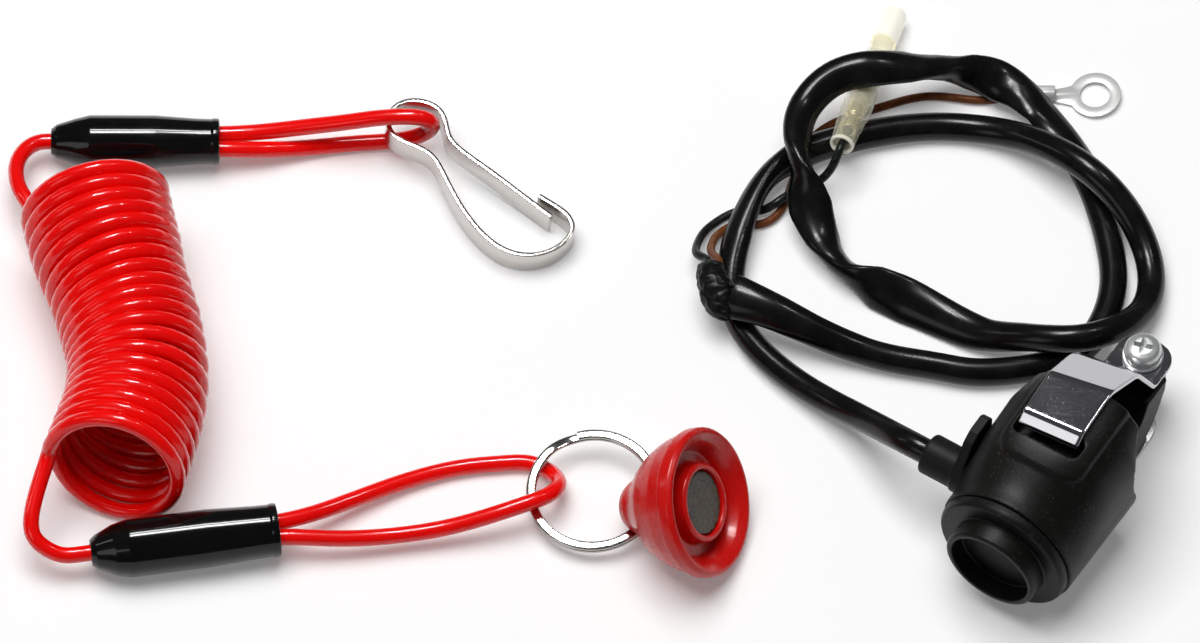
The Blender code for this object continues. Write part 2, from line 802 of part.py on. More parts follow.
strap_plan.location = (0.0, 0.0, 30 * MM)
boolean(strap, strap_plan, "INTERSECT")
strap_hole = make_cutter(
    "strap_hole", cylinder_mesh("strap_hole", SCREW_R + GAP, 10 * MM, 24), switch
)
strap_hole.location = (0.0, SCREW_Y, foot_z)
boolean(strap, strap_hole)

washer_z = foot_z + STRAP_T / 2 + GAP / 3
washer = add(
    "screw_washer",
    outline_mesh(
        "screw_washer",
        [
            arc((0, 0), WASHER_R, 0, 350, 36),
            arc((0, 0), SCREW_R + GAP, 0, 345, 24),
        ],
        WASHER_T / 2,
    ),
    ZINC,
    switch,
)
washer.location = (0.0, SCREW_Y, washer_z + WASHER_T / 2)

head_z = washer_z + WASHER_T + GAP / 3
screw_data = turned_mesh(
    "clamp_screw",
    [
        (0.0, 0.0),
        (0.0, SCREW_HEAD_R * 0.55),
        (SCREW_HEAD_H * 0.12, SCREW_HEAD_R * 0.82),
        (SCREW_HEAD_H * 0.42, SCREW_HEAD_R * 0.98),
        (SCREW_HEAD_H * 0.7, SCREW_HEAD_R),
        (SCREW_HEAD_H, SCREW_HEAD_R),
        (SCREW_HEAD_H, SCREW_R),
        (SCREW_HEAD_H + SCREW_LENGTH - 0.6 * MM, SCREW_R),
        (SCREW_HEAD_H + SCREW_LENGTH, SCREW_R - 0.6 * MM),
        (SCREW_HEAD_H + SCREW_LENGTH, 0.0),
    ],
    32,
)
screw_data.transform(Matrix.Rotation(math.radians(-90.0), 4, "X"))
screw = add("clamp_screw", screw_data, ZINC, switch)
screw.location = (0.0, SCREW_Y, head_z + SCREW_HEAD_H)
for turn in (0.0, 90.0):
    cross = make_cutter(
        "cross_recess_%d" % turn,
        box_mesh("cross_recess_%d" % turn, (5.2 * MM, 1.1 * MM, 3.4 * MM)),
        switch,
    )
    cross.location = (0.0, SCREW_Y, head_z + SCREW_HEAD_H)
    cross.rotation_euler = (0.0, 0.0, math.radians(turn + 18.0))
    boolean(screw, cross)

nut_outer = arc((0, 0), NUT_AF / 2 / math.cos(math.pi / 6), 0, 300, 6)
nut = add(
    "clamp_nut",
    outline_mesh(
        "clamp_nut", [nut_outer, arc((0, 0), SCREW_R + GAP / 3, 0, 345, 24)], NUT_T / 2
    ),
    ZINC,
    switch,
)
nut.rotation_euler = (0.0, 0.0, math.radians(30.0))
nut.location = (0.0, SCREW_Y, nut_bottom_z + NUT_T / 2)

# The gland: a plate on the flat, a collar outside and a spigot inside, bored for the sleeve.
gland_data = turned_mesh(
    "cable_gland",
    [
        (0.0, SLEEVE_D / 2 + GAP),
        (0.0, GLAND_COLLAR_R - 0.6 * MM),
        (0.6 * MM, GLAND_COLLAR_R),
        (GLAND_REACH - GLAND_PAD_X - GAP, GLAND_COLLAR_R),
        (GLAND_REACH - GLAND_PAD_X - GAP, spigot_r),
        (GLAND_REACH - GLAND_PAD_X + GLAND_SPIGOT, spigot_r),
        (GLAND_REACH - GLAND_PAD_X + GLAND_SPIGOT, SLEEVE_D / 2 - 1 * MM),
        (GLAND_SOCKET, SLEEVE_D / 2 - 1 * MM),
        (GLAND_SOCKET, SLEEVE_D / 2 + GAP),
        (0.0, SLEEVE_D / 2 + GAP),
    ],
    32,
)
gland_data.transform(Matrix.Rotation(math.radians(-90.0), 4, "Z"))
gland = add("cable_gland", gland_data, BLACK_RUBBER, switch)
gland.location = (-GLAND_REACH, GLAND_Y, BARREL_AXIS_Z + 1 * MM)
gland_plate = make_cutter(
    "gland_plate",
    outline_mesh(
        "gland_plate",
        [
            [
                (-GLAND_PLATE_LENGTH / 2, -GLAND_PLATE_HEIGHT / 2 + 3 * MM),
                (-GLAND_PLATE_LENGTH / 2 + 3 * MM, -GLAND_PLATE_HEIGHT / 2),
                (GLAND_PLATE_LENGTH / 2 - 3 * MM, -GLAND_PLATE_HEIGHT / 2),
                (GLAND_PLATE_LENGTH / 2, -GLAND_PLATE_HEIGHT / 2 + 3 * MM),
                (GLAND_PLATE_LENGTH / 2, GLAND_PLATE_HEIGHT / 2 - 2 * MM),
                (GLAND_PLATE_LENGTH / 2 - 2 * MM, GLAND_PLATE_HEIGHT / 2),
                (-GLAND_PLATE_LENGTH / 2 + 5 * MM, GLAND_PLATE_HEIGHT / 2),
                (-GLAND_PLATE_LENGTH / 2, GLAND_PLATE_HEIGHT / 2 - 5 * MM),
            ],
            arc((0.0, -1 * MM), SLEEVE_D / 2 - 0.5 * MM, 0, 345, 24),
        ],
        GLAND_PLATE_T / 2,
    ),
    switch,
)
gland_plate.data.transform(Matrix(((0, 0, 1, 0), (1, 0, 0, 0), (0, 1, 0, 0), (0, 0, 0, 1))))
gland_plate.location = (
    -GLAND_PAD_X - GAP - GLAND_PLATE_T / 2,
    GLAND_Y,
    BARREL_AXIS_Z + 2 * MM,
)
boolean(gland, gland_plate, "UNION")

switch_turn = Matrix.Rotation(SWITCH_HEADING, 4, "Z")


def from_switch(x, y, z):
    return SWITCH_AT + switch_turn @ Vector((x, y, z))


def route_mm(points):
    return [Vector(point) * MM for point in points]


# The cable: out of the gland, down to the table and round one and a half loops, in millimetres.
sleeve_route = [
    from_switch(-GLAND_REACH + GLAND_SOCKET - GAP, GLAND_Y, BARREL_AXIS_Z + 1 * MM),
    from_switch(-GLAND_REACH - 5 * MM, GLAND_Y, BARREL_AXIS_Z + 0.9 * MM),
] + route_mm(
    [
        (59.0, -31.8, 9.4),
        (46.6, -20.4, 4.2),
        (36.0, -9.6, 3.2),
        (30.6, 1.0, 3.2),
        (30.2, 15.0, 4.4),
        (36.8, 33.4, 5.6),
        (43.5, 40.2, 5.6),
        (51.5, 45.2, 4.3),
        (70.5, 50.4, 3.2),
        (84.0, 50.4, 3.3),
        (94.5, 47.2, 5.4),
        (104.0, 40.4, 9.4),
        (113.5, 32.0, 10.6),
        (121.6, 22.6, 6.4),
        (125.3, 11.0, 3.6),
        (123.6, 0.6, 4.8),
        (117.6, -7.4, 9.0),
        (108.5, -11.3, 10.6),
        (98.5, -10.0, 8.8),
        (91.0, -7.4, 5.4),
        (84.0, -4.4, 3.4),
        (69.3, 4.0, 3.2),
        (58.0, 14.0, 3.6),
        (50.5, 25.6, 7.0),
        (46.6, 34.0, 11.0),
        (45.0, 42.5, 12.0),
        (46.8, 50.6, 11.8),
        (53.4, 57.0, 13.8),
        (62.5, 58.8, 15.2),
        (72.0, 60.9, 12.6),
        (81.0, 63.4, 7.8),
        (91.0, 61.6, 5.9),
        (97.2, 57.4, 5.6),
        (102.7, 51.6, 4.2),
        (110.8, 38.4, 3.2),
        (115.4, 22.0, 3.2),
        (116.6, 7.0, 3.2),
        (112.3, -5.7, 3.2),
        (104.0, -12.6, 3.2),
        (86.0, -15.7, 3.2),
        (77.0, -14.2, 3.2),
        (66.0, -12.0, 3.3),
        (57.0, -9.6, 4.6),
        (48.0, -6.8, 7.2),
        (38.5, -3.2, 9.8),
        (30.0, 0.3, 10.2),
    ]
)
sleeve_points = smooth_path(sleeve_route, 8.0 * MM)
tube("cable_sleeve", sleeve_points, SLEEVE_D / 2, BLACK_VINYL, 2)

# Tape binds the end of the sleeve, and the two wires come out of its far end.
sleeve_end = Vector(sleeve_points[-1])
sleeve_way = (sleeve_end - Vector(sleeve_points[-2])).normalized()
tape_route = [
    sleeve_end + sleeve_way * GAP,
    sleeve_end + sleeve_way * 1.5 * MM,
] + route_mm([(25.9, 3.6, 10.6), (25.2, 6.4, 10.2), (25.5, 9.2, 9.4)])
tape_points = smooth_path(tape_route, 1.8 * MM)
tape_curve = poly_curve("tape_wrap", tape_points, TAPE_D / 2, 3)
for point, share in zip(
    tape_curve.splines[0].points, np.linspace(0.0, 1.0, len(tape_points))
):
    point.radius = 1.0 - TAPE_TAPER * abs(2 * share - 1) ** 2
add("tape_wrap", tape_curve, BLACK_TAPE, table)
tape_end = Vector(tape_points[-1])
tape_way = (tape_end - Vector(tape_points[-2])).normalized()
tape_side = tape_way.cross(Vector((0.0, 0.0, 1.0))).normalized()
wire_offset = WIRE_D / 2 + GAP
black_start = tape_end + tape_way * GAP - tape_side * wire_offset
brown_start = tape_end + tape_way * GAP + tape_side * wire_offset
wire_lift = tape_way * 2.0 * MM

# The connector lies over the first run, and its far end rests on the table.
bullet_way = Vector(
    (
        math.cos(BULLET_DIP) * math.cos(BULLET_HEADING),
        math.cos(BULLET_DIP) * math.sin(BULLET_HEADING),
        -math.sin(BULLET_DIP),
    )
)
bullet_frame = frame(
    "bullet_frame", BULLET_AT, (-BULLET_DIP, 0.0, BULLET_HEADING - math.radians(90.0))
)
bullet_r = BULLET_D / 2
bullet_sleeve = add(
    "bullet_sleeve",
    turned_mesh(
        "bullet_sleeve",
        [
            (0.0, bullet_r - BULLET_WALL),
            (0.0, bullet_r),
            (BULLET_LENGTH - 0.5 * MM, bullet_r),
            (BULLET_LENGTH, bullet_r - 0.5 * MM),
            (BULLET_LENGTH, bullet_r - BULLET_WALL - 0.5 * MM),
            (BULLET_LENGTH - 3 * MM, bullet_r - BULLET_WALL),
            (0.0, bullet_r - BULLET_WALL),
        ],
        24,
    ),
    CLEAR_SLEEVE,
    bullet_frame,
)
receptacle_start = 5.0 * MM
crimp_length = 7.0 * MM
receptacle_r = bullet_r - BULLET_WALL - GAP
wire_bore = WIRE_D / 2 + GAP
add(
    "bullet_receptacle",
    turned_mesh(
        "bullet_receptacle",
        [
            (receptacle_start, wire_bore),
            (receptacle_start, wire_bore + 0.5 * MM),
            (receptacle_start + crimp_length, wire_bore + 0.5 * MM),
            (receptacle_start + crimp_length + 1.5 * MM, receptacle_r),
            (receptacle_start + RECEPTACLE_LENGTH, receptacle_r),
            (receptacle_start + RECEPTACLE_LENGTH, receptacle_r - 0.45 * MM),
            (receptacle_start + crimp_length + 2.0 * MM, receptacle_r - 0.45 * MM),
            (receptacle_start + crimp_length, wire_bore),
            (receptacle_start, wire_bore),
        ],
        20,
    ),
    BRASS,
    bullet_frame,
)
black_end = BULLET_AT + bullet_way * (receptacle_start + crimp_length / 2)
black_route = (
    [black_start, black_start + wire_lift]
    + route_mm(
        [
            (22.2, 13.6, 7.0),
            (22.3, 18.6, 4.2),
            (24.1, 23.2, 2.2),
            (26.6, 26.2, 1.2),
            (29.4, 28.2, 1.1),
            (33.0, 29.4, 1.1),
            (36.0, 29.0, 1.4),
            (39.8, 29.6, 3.4),
            (42.4, 31.6, 3.6),
            (46.2, 33.6, 3.4),
            (50.6, 35.0, 5.6),
            (53.3, 36.6, 9.6),
        ]
    )
    + [BULLET_AT - bullet_way * 1.5 * MM, BULLET_AT + bullet_way * 3 * MM, black_end]
)
tube("black_wire", smooth_path(black_route, 3.0 * MM), WIRE_D / 2, BLACK_VINYL, 2)

terminal_barrel_z = RING_TERMINAL_BARREL_D / 2 + 0.1 * MM
barrel_mouth_x = -RING_TERMINAL_D / 2 - 0.6 * MM - RING_TERMINAL_BARREL
brown_end = RING_TERMINAL_AT + Vector((barrel_mouth_x + 3 * MM, 0.0, terminal_barrel_z))
brown_route = (
    [brown_start, brown_start + wire_lift]
    + route_mm(
        [
            (25.4, 14.6, 6.2),
            (25.8, 19.6, 3.4),
            (27.4, 23.0, 1.5),
            (30.6, 25.2, 1.1),
            (34.8, 25.3, 1.1),
            (39.0, 26.8, 1.1),
            (42.0, 31.0, 1.1),
            (43.6, 36.0, 1.1),
            (45.6, 42.4, 1.1),
            (48.9, 49.4, 1.1),
            (55.6, 54.2, 1.1),
            (64.1, 57.4, 1.1),
            (75.0, 60.4, 1.1),
            (86.0, 59.4, 1.1),
            (92.4, 60.0, 1.2),
        ]
    )
    + [brown_end - Vector((5 * MM, 0.0, 0.1 * MM)), brown_end]
)
tube("brown_wire", smooth_path(brown_route, 3.0 * MM), WIRE_D / 2, BROWN_WIRE, 2)

terminal_r = RING_TERMINAL_D / 2
tongue_half = 1.4 * MM
terminal_outline = arc((0, 0), terminal_r, -152, 152, 28) + [
    (-terminal_r, tongue_half),
    (-terminal_r - 1.6 * MM, tongue_half),
    (-terminal_r - 1.6 * MM, -tongue_half),
    (-terminal_r, -tongue_half),
]
terminal = add(
    "ring_terminal",
    outline_mesh(
        "ring_terminal",
        [terminal_outline, arc((0, 0), RING_TERMINAL_HOLE / 2, 0, 345, 24)],
        RING_TERMINAL_T / 2,
    ),
    TINNED,
    table,
)
terminal.location = RING_TERMINAL_AT + Vector((0.0, 0.0, RING_TERMINAL_T / 2))
barrel_data = turned_mesh(
    "terminal_barrel",
    [
        (0.0, wire_bore),
        (0.0, RING_TERMINAL_BARREL_D / 2),
        (RING_TERMINAL_BARREL, RING_TERMINAL_BARREL_D / 2),
        (RING_TERMINAL_BARREL, wire_bore),
        (0.0, wire_bore),
    ],
    20,
)
barrel_data.transform(Matrix.Rotation(math.radians(-90.0), 4, "Z"))
terminal_barrel = make_cutter("terminal_barrel", barrel_data, table)
terminal_barrel.location = RING_TERMINAL_AT + Vector((barrel_mouth_x, 0.0, terminal_barrel_z))
boolean(terminal, terminal_barrel, "UNION")

# The tether: a curly cord between two boots, each with a loop of the same cord.
cord_r = CORD_D / 2
strand_offset = (CORD_D + GAP) / 2
ferrule_half = CORD_D + GAP * 1.5 + FERRULE_WALL
boot_bore = ferrule_half + GAP
mouth_bore = CORD_D + GAP * 1.5


def direction(heading):
    return Vector((math.cos(heading), math.sin(heading), 0.0))


def cord_boot(name, place, heading, length, butt_d, mouth_d):
    """A vinyl boot over the crimped end of the cord, with its butt at place."""
    holder = frame(name + "_frame", place, (0.0, 0.0, heading - math.radians(90.0)))
    ferrule_end = length - FERRULE_DEPTH
    ferrule_start = ferrule_end - FERRULE_LENGTH
    profile = [
        (0.0, cord_r + GAP),
        (0.0, cord_r + 1.0 * MM),
        (BOOT_BUTT_LENGTH * 0.12, cord_r + 2.0 * MM),
        (BOOT_BUTT_LENGTH * 0.6, butt_d / 2 - 0.7 * MM),
        (BOOT_BUTT_LENGTH, butt_d / 2),
        (length - 5 * MM, mouth_d / 2),
        (length - 0.5 * MM, mouth_d / 2),
        (length, mouth_d / 2 - 0.4 * MM),
        (length, max(mouth_d / 2 - BOOT_WALL, mouth_bore + 0.01 * MM)),
        (length - 4 * MM, mouth_bore),
        (ferrule_end + GAP, mouth_bore),
        (ferrule_end + GAP, boot_bore),
        (ferrule_start - GAP, boot_bore),
        (ferrule_start - GAP, cord_r + GAP),
        (0.0, cord_r + GAP),
    ]
    boot = add(name, turned_mesh(name, profile, 24), BLACK_VINYL, holder)
    ferrule = add(
        name.replace("boot", "ferrule"),
        outline_mesh(
            name + "_ferrule",
            [
                arc((strand_offset, 0), cord_r + GAP + FERRULE_WALL, -90, 90, 9)
                + arc((-strand_offset, 0), cord_r + GAP + FERRULE_WALL, 90, 270, 9),
                arc((strand_offset, 0), cord_r + GAP, -90, 90, 9)
                + arc((-strand_offset, 0), cord_r + GAP, 90, 270, 9),
            ],
            FERRULE_LENGTH / 2,
        ),
        STEEL,
        holder,
    )
    ferrule.data.transform(Matrix.Rotation(math.radians(90.0), 4, "X"))
    ferrule.location = (0.0, (ferrule_start + ferrule_end) / 2, 0.0)
    way = direction(heading)
    side = Vector((-way.y, way.x, 0.0))
    lead_end = place + way * (ferrule_start - GAP)
    strand_ends = [
        place + way * (ferrule_start + 2 * MM) + side * strand_offset * sign for sign in (1, -1)
    ]
    mouth_points = [place + way * length + side * strand_offset * sign for sign in (1, -1)]
    return boot, lead_end, strand_ends, mouth_points


upper_boot, upper_lead_end, upper_ends, upper_mouth = cord_boot(
    "upper_boot",
    UPPER_BOOT_AT,
    UPPER_BOOT_HEADING,
    UPPER_BOOT_LENGTH,
    UPPER_BOOT_D,
    UPPER_BOOT_MOUTH_D,
)
lower_boot, lower_lead_end, lower_ends, lower_mouth = cord_boot(
    "lower_boot",
    LOWER_BOOT_AT,
    LOWER_BOOT_HEADING,
    LOWER_BOOT_LENGTH,
    LOWER_BOOT_D,
    LOWER_BOOT_MOUTH_D,
)

# The curly length is one solid of its outer diameter.
coil_route = [
    Vector((x, y, COIL_D / 2 / MM + 0.05)) * MM
    for x, y in (
        (-115.0, 22.0),
        (-112.5, 10.0),
        (-107.5, -7.5),
        (-104.7, -21.0),
        (-105.0, -31.7),
        (-107.2, -41.5),
        (-110.0, -50.0),
    )
]
coil_points = smooth_path(coil_route, 6.0 * MM)
tube("tether_coil", coil_points, COIL_D / 2, RED_CORD, COIL_SIDES)


def coil_exit(end, before, side):
    """Where the cord leaves an end face of the coil, at its rim on the given side."""
    way = (Vector(end) - Vector(before)).normalized()
    across = way.cross(Vector((0.0, 0.0, 1.0))).normalized()
    rim = Vector(end) + across * side * (COIL_D - CORD_D) / 2
    return [rim + way * GAP, rim + way * 2.2 * MM]


upper_way = direction(UPPER_BOOT_HEADING)
upper_exit = coil_exit(coil_points[0], coil_points[1], -1)
upper_lead_route = (
    upper_exit[1:]
    + route_mm(
        [
            (-131.4, 24.4, 14.4),
            (-132.6, 29.6, 11.4),
            (-133.0, 35.2, 8.8),
            (-132.0, 40.4, 7.2),
            (-129.6, 43.7, 6.5),
        ]
    )
    + [
        UPPER_BOOT_AT - upper_way * 1.8 * MM,
        UPPER_BOOT_AT + upper_way * 2 * MM,
        UPPER_BOOT_AT + upper_way * 8 * MM,
        upper_lead_end,
    ]
)
upper_lead_points = [upper_exit[0], *smooth_path(upper_lead_route, 4.0 * MM)]
tube("tether_lead_upper", upper_lead_points, cord_r, RED_CORD, 2)

lower_way = direction(LOWER_BOOT_HEADING)
lower_exit = coil_exit(coil_points[-1], coil_points[-2], 1)
lower_lead_route = (
    lower_exit[1:]
    + route_mm(
        [
            (-127.6, -52.8, 14.4),
            (-128.6, -58.0, 11.0),
            (-126.8, -63.2, 8.4),
            (-122.6, -66.6, 7.2),
        ]
    )
    + [
        LOWER_BOOT_AT - lower_way * 3.0 * MM,
        LOWER_BOOT_AT + lower_way * 2 * MM,
        LOWER_BOOT_AT + lower_way * 9 * MM,
        lower_lead_end,
    ]
)
lower_lead_points = [lower_exit[0], *smooth_path(lower_lead_route, 4.0 * MM)]
tube("tether_lead_lower", lower_lead_points, cord_r, RED_CORD, 2)

upper_loop_route = (
    [upper_ends[0], upper_mouth[0]]
    + route_mm(
        [
            (-77.0, 47.0, 6.9),
            (-68.2, 47.2, 8.4),
            (-58.0, 47.0, 10.9),
            (-50.5, 46.9, 12.8),
            (-45.0, 46.8, 13.5),
            (-40.8, 46.6, 13.3),
            (-38.5, 46.5, 11.6),
            (-38.5, 46.6, 9.0),
            (-40.4, 47.0, 6.0),
            (-43.9, 47.4, 3.4),
            (-48.6, 47.5, 2.1),
            (-56.0, 47.0, 2.0),
            (-67.0, 45.4, 2.7),
            (-77.0, 43.4, 5.0),
        ]
    )
    + [upper_mouth[1], upper_ends[1]]
)
tube("tether_loop_upper", smooth_path(upper_loop_route, 3.4 * MM), cord_r, RED_CORD, 2)

lower_loop_route = (
    [lower_ends[0], lower_mouth[0]]
    + route_mm(
        [
            (-61.4, -53.6, 5.4),
            (-45.5, -45.2, 2.8),
            (-31.8, -40.6, 2.1),
            (-22.7, -39.4, 2.0),
            (-16.2, -39.3, 2.0),
            (-12.0, -41.2, 2.1),
            (-9.6, -44.8, 3.7),
            (-9.6, -48.6, 6.2),
            (-12.0, -51.8, 8.0),
            (-16.4, -54.0, 8.3),
            (-24.0, -56.4, 7.4),
            (-34.1, -58.6, 5.6),
            (-45.5, -60.4, 5.0),
            (-59.0, -61.8, 5.8),
        ]
    )
    + [lower_mouth[1], lower_ends[1]]
)
tube("tether_loop_lower", smooth_path(lower_loop_route, 4.4 * MM), cord_r, RED_CORD, 2)

# The snap hook: one strip from the gate's free end round the eye and the big bend to the nib.
hook_frame = frame("hook_frame", HOOK_AT, (0.0, -HOOK_TILT, HOOK_HEADING))
hook_route = route_mm(
    [
        (7.2, -6.2, 0.0),
        (16.5, -5.1, 0.0),
        (26.0, -4.0, 0.0),
        (35.4, -3.0, 0.0),
        (38.6, -3.9, 0.0),
        (41.0, -5.4, 0.0),
        (43.6, -6.5, 0.0),
        (46.2, -6.4, 0.0),
        (48.6, -5.2, 0.0),
        (50.6, -3.2, 0.0),
        (51.6, -0.6, 0.0),
        (51.4, 1.9, 0.0),
        (50.0, 4.2, 0.0),
        (47.6, 5.5, 0.0),
        (44.8, 5.4, 0.0),
        (41.2, 4.0, 0.0),
        (37.8, 3.0, 0.0),
        (34.6, 3.3, 0.0),
        (31.5, 4.3, 0.0),
        (27.3, 5.8, 0.0),
        (22.3, 7.3, 0.0),
        (16.8, 8.3, 0.0),
        (11.6, 8.4, 0.0),
        (6.9, 7.2, 0.0),
        (2.9, 4.1, 0.0),
        (0.6, -0.6, 0.0),
        (0.5, -4.9, 0.0),
        (1.9, -7.9, 0.0),
        (4.6, -9.2, 0.0),
        (7.9, -9.0, 0.0),
        (12.8, -7.9, 0.0),
    ]
)
hook_curve = strip_curve(
    "snap_hook", smooth_path(hook_route, 2.0 * MM), HOOK_STRIP_W, HOOK_STRIP_T
)
snap_hook = add("snap_hook", hook_curve, NICKEL, hook_frame)
snap_hook.location = (0.0, 0.0, HOOK_STRIP_W / 2)

# The split ring: nearly two turns of flat wire, which step up one thickness before they overlap.
ring_frame = frame("ring_frame", RING_AT, (RING_TILT, -RING_LIFT, 0.0))
ring_pitch = RING_STRIP_T + RING_TURN_GAP
step_from, step_to, ring_start, ring_total = 325.0, 352.0, 142.0, 682.0
ring_points = []
for turned in np.linspace(0.0, ring_total, 92):
    t = min(1.0, max(0.0, (turned - step_from) / (step_to - step_from)))
    angle = math.radians(ring_start + turned)
    ring_points.append(
        (
            RING_MEAN_R * math.cos(angle),
            RING_MEAN_R * math.sin(angle),
            ring_pitch * (t * t * (3 - 2 * t) - 0.5),
        )
    )
ring_curve = strip_curve("split_ring", ring_points, RING_STRIP_T, RING_STRIP_W)
split_ring = add("split_ring", ring_curve, NICKEL, ring_frame)

# The magnet cap, turned about its own axis, whose tip has a cross hole for the ring.
cap_frame = frame(
    "cap_frame", CAP_TIP_AT, (CAP_RISE, 0.0, CAP_HEADING - math.radians(90.0))
)
groove_y = CAP_LENGTH - CAP_GROOVE_DEPTH
boss_y = groove_y + NOSE_RECESS_DEPTH - GAP
boss_r = NOSE_RECESS_R - CAP_BOSS_PLAY
groove_r = NOSE_R + CAP_GROOVE_PLAY
pocket_r = MAGNET_R + GAP
pocket_floor_y = boss_y - MAGNET_INSET - MAGNET_T - GAP
lip_start = CAP_LENGTH - CAP_LIP_DEPTH
cap = add(
    "magnet_cap",
    turned_mesh(
        "magnet_cap",
        [
            (0.0, 0.0),
            (0.2 * MM, 1.7 * MM),
            (0.8 * MM, 3.3 * MM),
            (1.9 * MM, 4.9 * MM),
            (3.4 * MM, 6.0 * MM),
            (5.0 * MM, 6.7 * MM),
            (6.0 * MM, 7.5 * MM),
            (7.8 * MM, 9.8 * MM),
            (10.6 * MM, 12.4 * MM),
            (13.4 * MM, 14.1 * MM),
            (16.2 * MM, 15.4 * MM),
            (lip_start, CAP_R - 0.7 * MM),
            (lip_start + 0.5 * MM, CAP_R),
            (CAP_LENGTH - 0.6 * MM, CAP_R),
            (CAP_LENGTH, CAP_R - 0.6 * MM),
            (CAP_LENGTH, CAP_R - CAP_LIP_WALL),
            (CAP_LENGTH - 1.4 * MM, CAP_R - CAP_LIP_WALL - 1.6 * MM),
            (groove_y + 1.6 * MM, groove_r + 0.6 * MM),
            (groove_y, groove_r),
            (groove_y, boss_r),
            (boss_y - 0.4 * MM, boss_r),
            (boss_y, boss_r - 0.4 * MM),
            (boss_y, pocket_r),
            (pocket_floor_y, pocket_r),
            (pocket_floor_y, 0.0),
        ],
    ),
    RED_PLASTIC,
    cap_frame,
)
lug_hole = make_cutter(
    "lug_hole", cylinder_mesh("lug_hole", CAP_LUG_HOLE_R, 2 * CAP_R, 28), cap_frame
)
lug_hole.location = (0.0, CAP_LUG_HOLE_Y, -CAP_LUG_HOLE_DROP)
lug_hole.rotation_euler = (0.0, math.radians(90.0), -CAP_LUG_HOLE_TURN)
boolean(cap, lug_hole)
magnet = add(
    "cap_magnet",
    turned_mesh(
        "cap_magnet",
        [
            (0.0, 0.0),
            (0.0, MAGNET_R - 0.3 * MM),
            (0.3 * MM, MAGNET_R),
            (MAGNET_T - 0.3 * MM, MAGNET_R),
            (MAGNET_T, MAGNET_R - 0.3 * MM),
            (MAGNET_T, 0.0),
        ],
        32,
    ),
    MAGNET,
    cap_frame,
)
magnet.location = (0.0, pocket_floor_y + GAP, 0.0)
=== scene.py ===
import json
import math

import bmesh
import bpy
import numpy as np
from mathutils import Euler, Matrix, Vector, noise

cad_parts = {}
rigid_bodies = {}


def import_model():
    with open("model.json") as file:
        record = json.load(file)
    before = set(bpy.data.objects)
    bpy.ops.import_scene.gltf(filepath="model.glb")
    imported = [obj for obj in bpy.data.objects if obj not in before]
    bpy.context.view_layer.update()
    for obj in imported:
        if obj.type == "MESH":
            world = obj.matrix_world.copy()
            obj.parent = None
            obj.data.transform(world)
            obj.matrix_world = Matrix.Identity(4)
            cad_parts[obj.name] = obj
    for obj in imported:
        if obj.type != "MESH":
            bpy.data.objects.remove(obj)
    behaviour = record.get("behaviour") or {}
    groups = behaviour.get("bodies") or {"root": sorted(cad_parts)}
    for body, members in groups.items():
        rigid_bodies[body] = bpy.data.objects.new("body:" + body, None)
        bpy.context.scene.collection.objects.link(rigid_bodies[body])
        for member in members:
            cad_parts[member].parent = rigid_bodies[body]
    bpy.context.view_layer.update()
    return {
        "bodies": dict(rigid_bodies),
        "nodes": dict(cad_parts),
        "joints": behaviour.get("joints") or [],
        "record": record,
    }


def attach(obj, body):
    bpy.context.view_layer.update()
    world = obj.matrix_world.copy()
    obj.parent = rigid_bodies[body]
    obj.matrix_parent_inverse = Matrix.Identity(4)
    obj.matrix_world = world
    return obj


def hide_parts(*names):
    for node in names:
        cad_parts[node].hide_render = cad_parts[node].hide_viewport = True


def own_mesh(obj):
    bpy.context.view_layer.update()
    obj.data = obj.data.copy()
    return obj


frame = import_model()
cadNodes = frame["nodes"]
scene = bpy.context.scene
mm = 0.001
tableShift = Vector((-41.05, 14.7, 0.0))  # from the layout's own millimetres to the frame
print("frame loaded:", len(cadNodes), "solids")


def onTable(x, y, z):
    # a layout point in millimetres, as metres in the frame
    return (Vector((x, y, z)) + tableShift) * mm


def standAt(spot, turn=(0.0, 0.0, 0.0), shift=(0.0, 0.0, 0.0)):
    # a local frame in millimetres, turned in degrees
    spin = Euler([math.radians(angle) for angle in turn]).to_matrix().to_4x4()
    return Matrix.Translation(onTable(*spot)) @ spin @ Matrix.Scale(mm, 4) @ Matrix.Translation(shift)


switchPlace = {"spot": (87.4, -77.6, 0.0), "heading": -32.3, "axisHeight": 17.6}
switchFrame = standAt(switchPlace["spot"], (0.0, 0.0, switchPlace["heading"]))
barrelFrame = switchFrame @ Matrix.Translation((0.0, 0.0, switchPlace["axisHeight"]))


def fromSwitch(x, y, z):
    # a switch point in the layout's millimetres
    turn = Matrix.Rotation(math.radians(switchPlace["heading"]), 3, "Z")
    return tuple(Vector(switchPlace["spot"]) + turn @ Vector((x, y, z)))


# turns a (y, z) outline to rise along x
sideways = Matrix(((0, 0, 1, 0), (1, 0, 0, 0), (0, 1, 0, 0), (0, 0, 0, 1)))


def circle(x, y, radius, count):
    spokes = np.linspace(0.0, 2 * math.pi, count, endpoint=False)
    return [(x + radius * math.cos(a), y + radius * math.sin(a)) for a in spokes]


